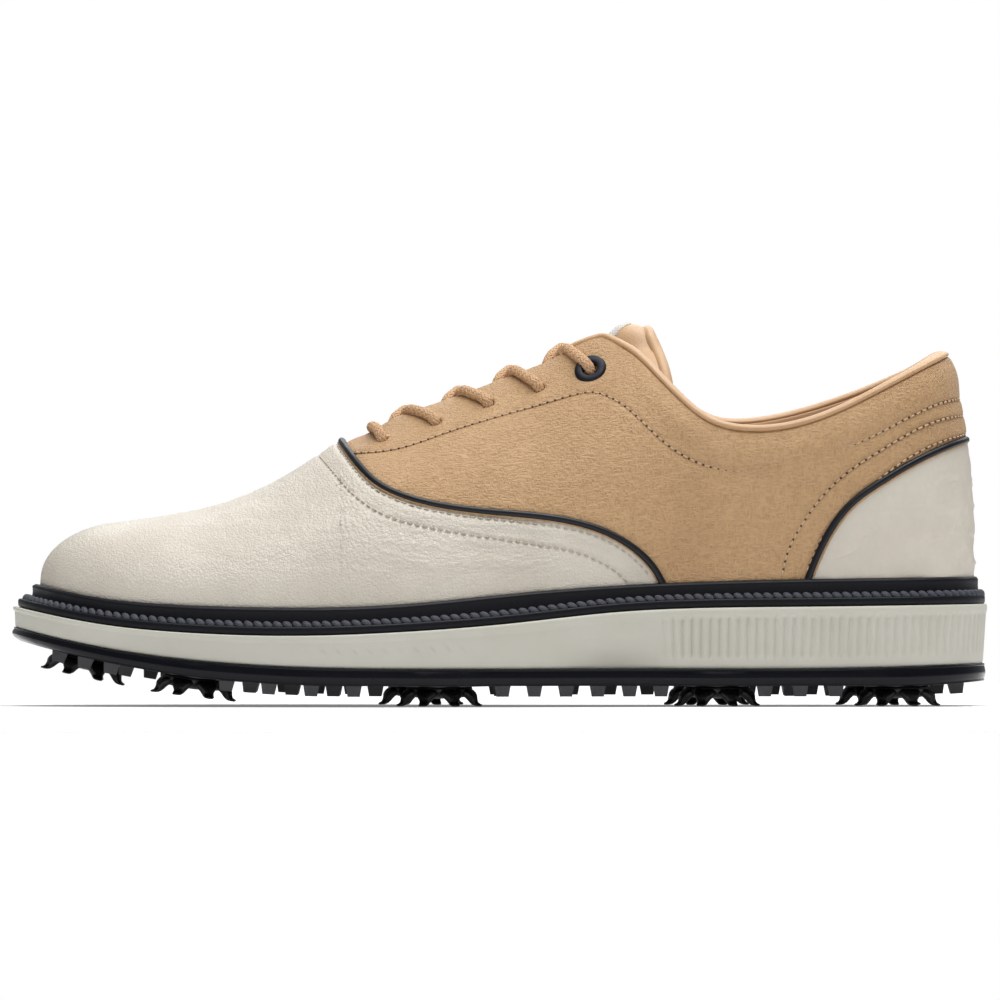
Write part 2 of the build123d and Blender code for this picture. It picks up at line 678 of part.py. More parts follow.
def tucked_end(side):
    """The end that lies between the facing and the tongue, below the holes."""
    x, _ = HOLES[-1]
    _, angle = hole_frame(len(HOLES) - 1, side)
    down = -1 if side < 0 else 1
    places = ((-7, 11), (-22, 16), (-40, 17))
    return [upper_off(x + along, angle + down * radians(drop), UNDER) for along, drop in places]


def rounded_path(points, limit):
    """Straight runs joined by tangent arcs, each as large as its two runs allow, up to a limit."""
    radii = []
    for before, here, after in zip(points, points[1:], points[2:]):
        turn = radians((here - before).get_angle(after - here))
        shorter = min((here - before).length, (after - here).length)
        radii.append(min(limit, 0.45 * shorter / tan(turn / 2)))
    return FilletPolyline(*points, radius=radii), radii


def lace_tube(radius):
    """A round tube along the lace's whole route, with its line and the radii of its bends."""
    path, radii = rounded_path(lace_route(), 60.0)
    line = path.wire() if hasattr(path, "wire") else path
    return sweep(line.location_at(0) * Circle(radius), path=line).solid(), line, radii


def lace_room():
    """The room that the lace presses out of the soft parts it lies against."""
    return lace_tube(LACE_D / 2 + LACE_ROOM)[0]


def build_lace():
    """One round lace along its whole route, and the tip on each end."""
    points = lace_route()
    tube, line, radii = lace_tube(LACE_D / 2)
    save("lace", tube)
    tips = []
    for end, inward in ((points[0], points[1]), (points[-1], points[-2])):
        direction = (end - inward).normalized()
        plane = Plane(origin=end + direction * SKIN, z_dir=direction)
        tips.append((plane * Cylinder(AGLET_R, AGLET, align=(Align.CENTER, Align.CENTER, Align.MIN))).solid())
    save("lace_tips", *tips)
    print("lace length", round(line.length, 1), "smallest radius", round(min(radii), 2))
    print("lace radii", [round(r, 1) for r in radii])
    print("lace volume ratio", round(tube.volume / (pi * LACE_D**2 / 4 * line.length), 4))


def tread_frame(x, y):
    """A place on the tread, with z square to it, up into the sole."""
    slope = (tread(x + 1) - tread(x - 1)) / 2
    return Plane(origin=(x, y, tread(x)), x_dir=(1, 0, slope), z_dir=(-slope, 0, 1))


def build_sole():
    """Welt, stitching, filler, shank, midsole, outsole, lugs and receptacles."""
    flange = (plan_prism(FLANGE_GROW) - plan_prism(FLANGE_INNER_GROW)) & height_slab(flange_foot, flange_top)
    rib = (plan_prism(RIB) - plan_prism(RIB_INNER)) & height_slab(lambda x: flange_top(x) - 0.5, rib_top)
    save("welt", largest(flange + rib))
    inner, outer_edge = STITCH_GROW
    ring = plan_prism(outer_edge) - plan_prism(inner)
    save("welt_stitches", largest(
        ring & height_slab(lambda x: flange_top(x) + SKIN, lambda x: flange_top(x) + STITCH_HEIGHT)))

    def filler_top(x):
        return flange_top(x) - SKIN

    shank_strip = Box(SHANK_BACK - SHANK_FRONT, SHANK_WIDTH, 80)
    shank_strip = shank_strip.moved(Location(((SHANK_FRONT + SHANK_BACK) / 2, crown_y(60), 30)))
    slot_strip = Box(SHANK_BACK - SHANK_FRONT + 0.4, SHANK_WIDTH + 0.4, 80)
    slot_strip = slot_strip.moved(Location(((SHANK_FRONT + SHANK_BACK) / 2, crown_y(60), 30)))
    shank = height_slab(lambda x: filler_top(x) - SHANK_THICKNESS, filler_top)
    slot = height_slab(lambda x: filler_top(x) - SHANK_THICKNESS - SKIN, lambda x: filler_top(x) + 5)
    filler = plan_prism(FLANGE_INNER_GROW - 0.5) & height_slab(lambda x: flange_foot(x) + SKIN, filler_top)
    save("filler", largest(filler - (slot & slot_strip)))
    save("shank", largest(shank & shank_strip))

    sockets = []
    pockets = []
    for x, y in CLEATS.values():
        frame = tread_frame(x, y)
        base = (Align.CENTER, Align.CENTER, Align.MIN)
        body = Pos(0, 0, RECEPTACLE_FOOT) * Cylinder(RECEPTACLE_R, RECEPTACLE_T, align=base)
        bore = Cylinder(STUD_R + STUD_CLEARANCE, RECEPTACLE_FOOT + BORE_DEPTH, align=base)
        sockets.append((frame * (body - bore)).solid())
        top = RECEPTACLE_FOOT + RECEPTACLE_T + SKIN
        pockets.append(frame * Pos(0, 0, -3) * Cylinder(RECEPTACLE_R + SKIN, top + 3, align=base))
    save("cleat_receptacles", *sockets)

    side_wall = Solid.make_loft([
        plan_wire(MIDSOLE_FOOT_GROW - 0.5, 7), plan_wire(SOLE_GROW, 32.2),
    ])
    midsole = side_wall & height_slab(lambda x: midsole_foot(x) + SKIN, lambda x: flange_foot(x) - SKIN)
    save("midsole", largest(midsole - pockets))
    save("outsole", largest((plan_prism(OUTSOLE_GROW) & height_slab(tread, midsole_foot)) - pockets))
    save("traction_lugs", *build_lugs())


def build_lugs():
    """Tapered blocks under the tread: a row inside each edge, and a few rows between the cleats."""
    lugs = []
    for x, y, length in lug_places():
        tip = Wire.make_rect(length - 1.2, LUG_TIP).moved(Location((0, 0, -LUG_HEIGHT)))
        block = Solid.make_loft([Wire.make_rect(length, LUG_BASE), tip])
        lugs.append((tread_frame(x, y) * Pos(0, 0, -SKIN) * block).solid())
    return lugs


def lug_places():
    """The lugs' places and lengths, clear of the circle that each cleat's legs turn in."""
    places = []
    for side, rows in ((-1, LATERAL_LUGS), (1, MEDIAL_LUGS)):
        curve = lateral_width if side < 0 else medial_width
        for start, pitch, count in rows:
            for i in range(count):
                x = start + i * pitch
                toe_end = rounded(x - UPPER_TOE, TOE_CAP)
                heel_end = rounded(UPPER_HEEL - x, HEEL_CAP)
                y = crown_y(x) + side * (curve(x) * toe_end * heel_end - LUG_INSET)
                places.append((x, y, LUG_BASE))
    for row in range(22):
        x = -130.0 + row * INNER_PITCH
        for step in range(-4, 5):
            y = crown_y(x) + (step + 0.5 * (row % 2)) * INNER_PITCH
            side = -1 if y < crown_y(x) else 1
            inside = abs(y - crown_y(x)) < half_width(x, side, 0) - INNER_MARGIN
            if inside and not WAIST[0] < x < WAIST[1]:
                places.append((x, y, LUG_BASE))
    clear = CLEAT_TIP_R + LUG_BASE * 0.75 + 0.4
    return [(x, y, size) for x, y, size in places
            if all(hypot(x - cx, y - cy) > clear for cx, cy in CLEATS.values())]


def cleat():
    """One cleat in its own frame: a stud up, a domed base, and legs that flare to the ground."""
    profile = Polyline(
        (0, STUD_TOP), (STUD_R - 0.4, STUD_TOP), (STUD_R, STUD_TOP - 0.4), (STUD_R, -SKIN),
        (CLEAT_BASE_R, -SKIN), (CLEAT_BASE_R, -1.4), (CLEAT_BASE_R - 1.6, -2.8), (6.0, -3.4), (0, -3.6),
        close=True,
    )
    body = revolve(make_face(Plane.XZ * profile), axis=Axis.Z)
    leg_side = Polyline(
        (6.4, -1.0), (9.6, -0.6), (10.6, -2.4), (11.4, -4.4), (12.6, -5.6), (CLEAT_TIP_R, -6.1),
        (CLEAT_TIP_R - 0.2, -TREAD), (11.0, -TREAD), (9.2, -4.8), (7.4, -3.3), close=True,
    )
    leg = extrude(make_face(Plane.XZ * leg_side), amount=1.45, both=True)
    legs = [Rot(0, 0, 360 / LEGS * (i + 0.5)) * leg for i in range(LEGS)]
    return (body + legs).solid()


if __name__ == "__main__":
    os.makedirs("parts", exist_ok=True)
    build_upper()
    build_inside()
    build_tongue()
    build_eyelets()
    build_lace()
    build_sole()
    shape = cleat()
    for name, (x, y) in CLEATS.items():
        save(f"cleat_{name}", tread_frame(x, y) * shape)
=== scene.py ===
from math import ceil, cos, pi, sin, tau

import bmesh
import bpy
import numpy as np
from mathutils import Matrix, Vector, noise


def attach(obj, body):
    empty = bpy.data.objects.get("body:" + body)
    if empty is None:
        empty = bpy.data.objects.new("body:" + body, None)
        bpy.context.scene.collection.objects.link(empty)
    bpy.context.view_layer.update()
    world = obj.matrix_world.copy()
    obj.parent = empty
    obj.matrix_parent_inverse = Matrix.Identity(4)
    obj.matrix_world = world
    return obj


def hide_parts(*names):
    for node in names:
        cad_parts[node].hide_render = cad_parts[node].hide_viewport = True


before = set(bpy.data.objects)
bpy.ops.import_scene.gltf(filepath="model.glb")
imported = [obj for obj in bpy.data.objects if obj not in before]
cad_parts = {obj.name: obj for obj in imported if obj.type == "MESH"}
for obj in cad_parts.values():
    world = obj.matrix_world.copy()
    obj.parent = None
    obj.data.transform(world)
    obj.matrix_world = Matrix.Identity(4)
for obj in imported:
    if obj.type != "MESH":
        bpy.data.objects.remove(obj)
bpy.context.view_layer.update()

# Lengths below are in millimetres, as in the CAD source, and turn into metres where a mesh is made.
MM = 0.001

# Upper
UPPER_TOE = -144.5
UPPER_HEEL = 148.9
TOE_CAP = (55.0, 2.4)
HEEL_CAP = (34.0, 2.3)
TOE_BOX = (24.0, 2.4)
HEEL_BACK = (20.0, 2.3)
LEATHER = 1.5
LINING = 0.9
LINING_FACE = 1.74
TOE_PUFF = 1.05
COLLAR_FILL = 2.32
TUCK = 4.2
PANEL_STEP = 0.8
OVER_THE_CROWN = 999.0
COLLAR_DROP = 1.4
PIPING_R = 1.12
PIPING_SINK = 0.25
ROLL_HALF = 1.25
ROLL_RISE = 0.55
ROLL_PROUD = 0.5
HOLE_R = 1.95
HOLES = [(-36.9, 83.8), (-20.1, 89.0), (-3.7, 94.8), (12.2, 99.8), (28.4, 105.3)]
THROAT_FRONT = -46.0
THROAT_BACK = 62.0
THROAT_HALF_FRONT = 6.0
THROAT_HALF_BACK = 9.5

# Sole
SOLE_GROW = 6.5
MIDSOLE_FOOT_GROW = 4.6
OUTSOLE_GROW = 4.9
FLANGE_GROW = 5.3
FLANGE_INNER_GROW = -8.0
FLANGE = 2.8
RIB = 1.9
RIB_INNER = 0.4
TOE_GROW_SHARE = 1.31
HEEL_GROW_SHARE = 0.63
TREAD = 6.6
TOE_SPRING = 14.6
HEEL_RISE = 1.6
ROPE_PITCH = 3.1
ROPE_BUMP = (1.85, 1.15, 1.35)
SOLE_STEP = 0.42
FLUTE_PITCH = 2.95
FLUTE_DEPTH = 1.05
TICK_PITCH = 4.9
TICK_DEPTH = 0.35
WAIST_DEPTH = 2.2
LEDGE = 0.35
RIM_SWELL = 0.55
SOCK_GROW = -6.2
SOCK_THICK = 3.6
CLEAT_LEGS = 8
CLEATS = {
    "toe": (-129.8, 10.0),
    "front_lateral": (-95.2, -24.0),
    "ball_lateral": (-19.0, -31.0),
    "ball_medial": (-24.9, 31.0),
    "heel_front_lateral": (67.9, -20.0),
    "heel_front_medial": (65.0, 24.0),
    "heel_rear_lateral": (124.4, -13.0),
    "heel_rear_medial": (119.0, 22.0),
}

# Lace
LACE_R = 1.5
OVER = 1.3
UNDER = -4.4
OVER_HOLE = 1.8
UNDER_HOLE = -4.9
EYELET_OVER = 2.6
CROSS_OVER = [(-3.2, -1.3), (2.0, -0.5)]
CROSS_UNDER = [(-2.0, -6.2), (3.2, -5.0)]
CROSS_REACH = 19.0
BAR_LEAN = 3.4
BAR_OVER = -0.3
BRAID_PAIRS = 8
BRAID_LAY = 10.0

# Tongue
TONGUE_FRONT = -56.0
TONGUE_BACK = 56.0
TONGUE_HALF_FRONT = 17.0
TONGUE_HALF_BACK = 31.0
TONGUE_SHARE = 0.74
TONGUE_SIDE_DEPTH = 7.4
TONGUE_THICK = 4.0
TONGUE_END = [(44.2, 124.0), (47.2, 117.4), (50.1, 111.1), (52.6, 103.9), (53.6, 98.0), (53.9, 88.0), (53.9, 74.0)]
LABEL_X = 35.4
LABEL_R = 5.9

# Edges seen from the side, as (x, z)
VAMP_SEAM = [
    (54.8, 30.0), (51.9, 36.0), (48.5, 42.7), (43.8, 47.9), (34.4, 54.0), (20.0, 58.4), (0.0, 60.7),
    (-18.0, 62.9), (-31.5, 66.5), (-38.6, 70.2), (-44.0, 75.4), (-49.7, 83.2), (-53.5, 89.5),
]
HEEL_SEAM = [
    (93.5, 30.0), (95.2, 36.0), (97.6, 43.0), (102.2, 53.0), (109.7, 63.1), (119.1, 70.1), (130.8, 77.0),
    (142.6, 82.2), (153.0, 85.6),
]
TOPLINE = [
    (20.0, 118.5), (27.0, 117.4), (34.0, 115.9), (41.6, 112.2), (49.0, 105.0), (56.1, 97.7), (64.0, 91.4),
    (72.0, 88.5), (80.0, 87.8), (90.0, 88.7), (105.6, 93.6), (123.6, 102.6), (137.6, 109.8), (150.0, 116.0),
]
MEDIAL_RISE = 3.5
MEDIAL_RISE_FROM = 52.0
MEDIAL_RISE_TO = 137.0

# Stitch rows seen from the side, as (x, z)
COLLAR_ROW = [
    (-46.5, 79.4), (-33.3, 80.6), (-17.3, 85.7), (2.7, 91.8), (17.1, 96.0), (23.5, 97.8), (29.2, 98.4),
    (34.7, 96.7), (40.3, 93.0), (50.0, 83.8), (62.0, 76.2), (74.1, 73.6), (92.1, 76.3), (112.8, 82.8),
    (132.6, 92.7), (139.8, 95.4), (146.0, 96.4),
]
COUNTER_ROW = [
    (147.0, 91.2), (139.8, 90.1), (128.2, 85.5), (119.1, 80.1), (110.1, 74.3), (101.1, 66.1), (94.8, 57.6),
    (90.2, 49.0), (88.0, 40.0),
]
SEAM_ROW = [
    (147.0, 85.4), (137.1, 82.4), (128.1, 77.9), (119.1, 71.5), (110.1, 63.9), (103.8, 57.1), (99.3, 50.0),
    (96.2, 43.0), (94.0, 38.5),
]
VAMP_ROW_A = [
    (-54.4, 86.0), (-51.3, 82.0), (-47.2, 76.4), (-41.0, 69.6), (-32.0, 64.6), (-18.0, 60.8), (0.0, 58.5),
    (12.0, 57.2), (24.5, 54.9), (33.5, 51.8), (39.9, 47.7), (45.2, 42.7), (48.4, 38.2),
]
VAMP_ROW_B = [
    (-60.0, 82.0), (-54.1, 75.6), (-47.2, 67.8), (-38.0, 61.0), (-25.0, 56.8), (-5.0, 53.2), (15.5, 50.1),
    (24.5, 48.1), (31.8, 45.0), (37.2, 41.4), (40.8, 37.6),
]
STITCH_PITCH = 2.45
STITCH_GAP = 0.28
STITCH_HOLE_R = 0.42
THREAD_R = 0.3


# ---------------------------------------------------------------- curves and the shoe's form
def smooth(*points):
    """A natural cubic spline through (x, value) points, as a function."""
    xs, ys = np.array(points, float).T
    n = len(xs)
    h = np.diff(xs)
    slope = np.diff(ys) / h
    system = np.eye(n)
    right = np.zeros(n)
    for i in range(1, n - 1):
        system[i, i - 1 : i + 2] = h[i - 1], 2 * (h[i - 1] + h[i]), h[i]
        right[i] = 6 * (slope[i] - slope[i - 1])
    bend = np.linalg.solve(system, right)

    def value(x):
        x = np.clip(x, xs[0], xs[-1])
        i = np.clip(np.searchsorted(xs, x, side="right") - 1, 0, n - 2)
        t = x - xs[i]
        lean = slope[i] - h[i] * (2 * bend[i] + bend[i + 1]) / 6
        return ys[i] + t * lean + t * t * bend[i] / 2 + t**3 * (bend[i + 1] - bend[i]) / (6 * h[i])

    return value


rib_top = smooth((-153, 40.0), (-126, 34.2), (-102, 32.0), (-70, 31.1), (-32, 32.0), (6, 35.6),
                 (44, 38.3), (96, 39.9), (153, 40.6))
flange_foot = smooth((-153, 31.4), (-126, 26.0), (-97, 23.2), (-65, 22.3), (-32, 23.4), (6, 26.4),
                     (35, 29.5), (63, 30.9), (95, 31.3), (153, 32.1))
midsole_foot = smooth((-153, 24.9), (-126, 18.8), (-97, 14.7), (-69, 12.7), (-32, 11.9), (44, 11.9),
                      (110, 12.1), (153, 13.4))
crown = smooth((-144.5, 55.0), (-126, 57.0), (-97, 61.3), (-78, 67.0), (-60, 77.0), (-45, 86.3),
               (-22, 95.6), (-3, 103.0), (16, 111.0), (32, 117.6), (46, 121.6), (65, 124.0), (100, 124.0),
               (148.9, 122.0))
crown_y = smooth((-144.5, 12.0), (-110, 9.5), (-84, 7.0), (-50, 5.0), (-25, 5.0), (0, 6.0), (25, 6.0),
                 (60, 5.0), (148.9, 4.0))
lateral_width = smooth((-144.5, 43.0), (-110, 47.0), (-84, 50.3), (-50, 54.3), (-25, 54.0), (0, 51.0),
                       (25, 45.5), (50, 40.0), (75, 37.0), (100, 34.5), (120, 32.0), (148.9, 29.0))
medial_width = smooth((-144.5, 25.0), (-110, 34.5), (-84, 40.8), (-62, 44.3), (-45, 43.0), (-20, 37.5),
                      (0, 31.8), (25, 28.2), (50, 29.3), (75, 31.6), (100, 33.5), (120, 32.0), (148.9, 29.0))
power_across = smooth((-144.5, 2.2), (-110, 2.2), (-60, 1.9), (-30, 1.6), (0, 1.55), (35, 1.6), (70, 1.9),
                      (148.9, 2.0))
power_up = smooth((-144.5, 2.1), (-110, 2.0), (-60, 1.8), (0, 1.75), (35, 2.1), (70, 3.0), (100, 3.2),
                  (148.9, 3.0))
wall_bulge = smooth((-144.5, 0.6), (-90, 1.2), (-40, 1.6), (20, 0.8), (70, 1.6), (110, 2.4), (148.9, 0.8))
topline_curve = smooth(*TOPLINE)
tongue_crown = smooth((-58, 8.0), (8, 8.0), (19, 7.4), (27, 5.8), (34, 4.5), (40, 3.3), (46, 2.4), (56, 3.6))


def tread(x):
    """Height of the outsole's tread."""
    toe = np.maximum(0.0, (-45.0 - x) / 108.0)
    heel = np.maximum(0.0, (x - 125.0) / 28.0)
    return TREAD + TOE_SPRING * toe**2.12 + HEEL_RISE * heel**2


def rounded(distance, shape):
    """0 at the tip of a rounded end, rising to 1 over its length."""
    length, power = shape
    t = np.clip(distance / length, 0.0, 1.0)
    return (1 - (1 - t) ** power) ** (1 / power)


def ramp(x, start, end):
    """0 before start, 1 after end, easing between."""
    t = np.clip((x - start) / (end - start), 0.0, 1.0)
    return t * t * (3 - 2 * t)


def bump(x, middle, reach):
    """A smooth hump of height 1 that ends at middle plus or minus reach."""
    t = np.clip(np.abs(x - middle) / reach, 0.0, 1.0)
    return (1 - t * t) ** 2


def unit(vectors):
    """The same vectors with length 1."""
    return vectors / np.maximum(np.linalg.norm(vectors, axis=-1, keepdims=True), 1e-9)


def run_length(line):
    """The distance along a line to each of its points."""
    return np.concatenate([[0], np.cumsum(np.linalg.norm(np.diff(line, axis=0), axis=1))])


def slant(curve, x):
    return np.sqrt(1 + ((curve(x + 1) - curve(x - 1)) / 2) ** 2)


def half_width(x, side, depth):
    """From the crown line to the wall at the feather; side is -1 lateral, +1 medial."""
    ends = rounded(x - UPPER_TOE - depth, TOE_CAP) * rounded(UPPER_HEEL - depth - x, HEEL_CAP)
    lateral = lateral_width(x) - depth * slant(lateral_width, x)
    medial = medial_width(x) - depth * slant(medial_width, x)
    return np.where(side < 0, lateral, medial) * ends


def upper(x, angle, depth=0.0):
    """Points of the upper: angle 0 is the lateral feather, pi/2 the crown, pi the medial feather."""
    x, angle = np.broadcast_arrays(np.asarray(x, float), np.asarray(angle, float))
    side = np.where(angle < pi / 2, -1, 1)
    reach = half_width(x, side, depth)
    ends = rounded(x - UPPER_TOE - depth, TOE_BOX) * rounded(UPPER_HEEL - depth - x, HEEL_BACK)
    height = (crown(x) - depth * slant(crown, x) - rib_top(x)) * ends
    across = np.abs(np.cos(angle)) ** (2 / power_across(x))
    up = np.abs(np.sin(angle)) ** (2 / power_up(x))
    bulge = wall_bulge(x) * np.abs(np.sin(2 * angle)) * np.minimum(1.0, reach / 25)
    return np.stack([x, crown_y(x) + side * (reach * across + bulge), rib_top(x) + height * up], axis=-1)


def angle_where(x, side, test, depth=0.0):
    """The angle on one side where a test of the upper's point turns true, going down from the crown."""
    x = np.asarray(x, float)
    crown_end = np.full(x.shape, pi / 2)
    feather_end = np.full(x.shape, 0.0 if side < 0 else pi)
    for _ in range(36):
        middle = (crown_end + feather_end) / 2
        passed = test(upper(x, middle, depth))
        feather_end = np.where(passed, middle, feather_end)
        crown_end = np.where(passed, crown_end, middle)
    return (crown_end + feather_end) / 2


def angle_at_height(x, side, z, depth=0.0):
    return angle_where(x, side, lambda p: p[..., 2] < z, depth)


def upper_normal(x, angle):
    e = 1e-3
    along = upper(x + e, angle) - upper(x - e, angle)
    around = upper(x, angle + e) - upper(x, angle - e)
    return unit(np.cross(along, around))


def upper_off(x, angle, height):
    """Points square to the upper's face, height above it, or under it if negative."""
    return upper(x, angle) + upper_normal(x, angle) * np.asarray(height, float)[..., None]


def curve_through(points, step=0.4):
    """A smooth line through points of any dimension, as evenly spaced points."""
    points = np.array(points, float)
    knots = run_length(points)
    at = np.linspace(0, knots[-1], ceil(knots[-1] / step) + 1)
    return np.stack([smooth(*zip(knots, column))(at) for column in points.T], axis=1)


def height_of(line):
    """The line's height as a function of x."""
    order = np.argsort(line[:, 0])
    return lambda x: np.interp(x, line[order, 0], line[order, 1])


vamp_seam = curve_through(VAMP_SEAM)
heel_seam = curve_through(HEEL_SEAM)
vamp_seam_z = height_of(vamp_seam)
heel_seam_z = height_of(heel_seam)


def topline(x, side):
    share = np.clip((x - MEDIAL_RISE_FROM) / (MEDIAL_RISE_TO - MEDIAL_RISE_FROM), 0, 1)
    return topline_curve(x) + (MEDIAL_RISE * np.sin(pi * share) ** 2 if side > 0 else 0)


def throat_half(x):
    """Half the width of the gap between the facings, with its round front end."""
    share = (x - THROAT_FRONT) / (THROAT_BACK - THROAT_FRONT)
    straight = THROAT_HALF_FRONT + (THROAT_HALF_BACK - THROAT_HALF_FRONT) * share
    nose = np.sqrt(np.maximum(0.0, THROAT_HALF_FRONT**2 - (x - THROAT_FRONT - THROAT_HALF_FRONT) ** 2))
    return np.where(x < THROAT_FRONT, 0.0, np.where(x < THROAT_FRONT + THROAT_HALF_FRONT, nose, straight))


def edge_angle(x, side):
    half = throat_half(x)
    return angle_where(x, side, lambda p: side * (p[..., 1] - crown_y(x)) > half)


def filling(x):
    toe = TOE_PUFF * (1 - ramp(x, -100, -90))
    return toe + COLLAR_FILL * ramp(x, 36, 54)


def outline(angle, grow):
    """Points of a plan outline that stands out from the upper by grow; angle 0 is the toe, pi the heel."""
    toe = UPPER_TOE - grow * TOE_GROW_SHARE
    heel = UPPER_HEEL + grow * HEEL_GROW_SHARE
    x = (toe + heel) / 2 - (heel - toe) / 2 * np.cos(angle)
    side = np.where(angle < pi, -1, 1)
    curve = np.where(side < 0, lateral_width(x), medial_width(x))
    toe_length, toe_power = TOE_CAP
    heel_length, heel_power = HEEL_CAP
    toe_end = rounded(x - toe, (toe_length + grow, toe_power))
    heel_end = rounded(heel - x, (heel_length + grow, heel_power))
    return x, crown_y(x) + side * (curve + grow) * toe_end * heel_end


# ---------------------------------------------------------------- mesh helpers
def piece(name, points, faces, material, body="root", replaces=(), solid=0.0, merge=True):
    """A smooth-shaded mesh from points in millimetres, riding on a body."""
    mesh = bpy.data.meshes.new(name)
    mesh.from_pydata((np.asarray(points, float).reshape(-1, 3) * MM).tolist(), [], faces)
    if merge:
        edit = bmesh.new()
        edit.from_mesh(mesh)
        bmesh.ops.remove_doubles(edit, verts=edit.verts, dist=0.02 * MM)
        bmesh.ops.dissolve_degenerate(edit, edges=edit.edges, dist=0.01 * MM)
        loose = [v for v in edit.verts if not v.link_faces]
        bmesh.ops.delete(edit, geom=loose, context="VERTS")
        edit.to_mesh(mesh)
        edit.free()
    mesh.shade_smooth()
    mesh.materials.append(material)
    obj = bpy.data.objects.new(name, mesh)
    bpy.context.scene.collection.objects.link(obj)
    if solid:
        shell = obj.modifiers.new("thickness", "SOLIDIFY")
        shell.thickness = solid * MM
        shell.offset = -1
    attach(obj, body)
    if replaces:
        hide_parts(*replaces)
    return obj


def grid_faces(rows, columns, start=0, closed=False, flip=False):
    """Quads of a grid of points stored row by row; closed joins the last row to the first."""
    i = np.arange(rows if closed else rows - 1)[:, None]
    j = np.arange(columns - 1)[None, :]
    a = i * columns + j
    b = ((i + 1) % rows) * columns + j
    quads = np.stack([a, b, b + 1, a + 1], axis=-1).reshape(-1, 4) + start
    return (quads[:, ::-1] if flip else quads).tolist()


def grid_normals(points):
    return unit(np.cross(np.gradient(points, axis=0), np.gradient(points, axis=1)))


class Parts:
    """Points and faces of many small shapes that make one piece."""

    def __init__(self):
        self.points = []
        self.faces = []
        self.count = 0

    def add(self, points, faces):
        points = np.asarray(points, float).reshape(-1, 3)
        self.faces += [[v + self.count for v in f] for f in faces]
        self.points.append(points)
        self.count += len(points)

    def piece(self, name, material, **options):
        return piece(name, np.concatenate(self.points), self.faces, material, merge=False, **options)


def frames_toward(line, up):
    """Two unit vectors across a line, the second as near up as it can be."""
    along = unit(np.gradient(line, axis=0))
    side = unit(np.cross(along, up))
    return side, np.cross(side, along)


def turning_frames(line):
    """Two unit vectors across a line that never spin about it."""
    along = unit(np.gradient(line, axis=0))
    across = [unit(np.cross(along[0], (0.0, 0.0, 1.0)))]
    for direction in along[1:]:
        across.append(unit(across[-1] - direction * (across[-1] @ direction)))
    across = np.array(across)
    return across, np.cross(along, across)


def tube(line, wide, high, side, up, sides=12, square=1.0):
    """Points and faces of a tube round a line, with half sizes wide and high; square under 1 fills its corners."""
    turn = np.linspace(0, tau, sides, endpoint=False)
    wave_x = np.sign(np.cos(turn)) * np.abs(np.cos(turn)) ** square
    wave_y = np.sign(np.sin(turn)) * np.abs(np.sin(turn)) ** square
    wide, high = np.broadcast_to(wide, len(line)), np.broadcast_to(high, len(line))
    rings = (line[:, None, :] + side[:, None, :] * (wide[:, None] * wave_x)[..., None]
             + up[:, None, :] * (high[:, None] * wave_y)[..., None])
    faces = []
    for i in range(len(line) - 1):
        for k in range(sides):
            following = (k + 1) % sides
            faces.append([i * sides + k, (i + 1) * sides + k, (i + 1) * sides + following, i * sides + following])
    faces.append(list(range(sides)))
    faces.append(list(range(len(line) * sides - 1, (len(line) - 1) * sides - 1, -1)))
    return rings.reshape(-1, 3), faces


def turned(profile, sides):
    """A profile of (radius, height) points turned about z, as a closed grid of points and its faces."""
    radius, height = np.array(profile).T
    turn = np.linspace(0, tau, sides, endpoint=False)[:, None]
    ring = np.stack([radius * np.cos(turn), radius * np.sin(turn), height + 0 * turn], axis=-1)
    return ring.reshape(-1, 3), grid_faces(sides, len(profile), closed=True, flip=True)


def blob(rings=6, sides=8):
    """A unit ball with its poles along x, as points and faces."""
    points = [(-1.0, 0.0, 0.0)]
    for i in range(1, rings):
        a = pi * i / rings
        points += [(-cos(a), sin(a) * cos(tau * k / sides), sin(a) * sin(tau * k / sides)) for k in range(sides)]
    points.append((1.0, 0.0, 0.0))
    faces = []
    for k in range(sides):
        faces.append([0, 1 + (k + 1) % sides, 1 + k])
        last = 1 + (rings - 2) * sides
        faces.append([len(points) - 1, last + k, last + (k + 1) % sides])
        for i in range(rings - 2):
            a, b = 1 + i * sides + k, 1 + i * sides + (k + 1) % sides
            faces.append([a, b, b + sides, a + sides])
    return np.array(points), faces


def distance_to(x, z, line):
    """How far side-view places are from a line."""
    flat = np.stack([np.ravel(x), np.ravel(z)], axis=1)
    best = np.full(len(flat), np.inf)
    for start in range(0, len(flat), 8000):
        part = flat[start : start + 8000, None, :] - line[None, :, :]
        best[start : start + 8000] = np.sqrt((part**2).sum(-1).min(-1))
    return best.reshape(np.shape(x))


def cells(points, size):
    """Rounded cells with narrow valleys between them, from 0 in a valley to 1, at each point."""
    flat = points.reshape(-1, 3) / size
    found = np.empty(len(flat))
    for i, p in enumerate(flat):
        near = noise.voronoi(p)[0]
        found[i] = near[1] - near[0]
    return np.clip(found * 2.2, 0, 1).reshape(points.shape[:-1])


def waves(points, size, stretch=(1, 1, 1)):
    """Smooth noise from -1 to 1 at each point."""
    flat = points.reshape(-1, 3) / (size * np.array(stretch))
    return np.array([noise.noise(p) for p in flat]).reshape(points.shape[:-1])


# ---------------------------------------------------------------- materials
def srgb(red, green, blue):
    """A colour given as 8-bit display values, in the linear values that shaders use."""
    values = [c / 255 for c in (red, green, blue)]
    return (*[v / 12.92 if v <= 0.04045 else ((v + 0.055) / 1.055) ** 2.4 for v in values], 1.0)


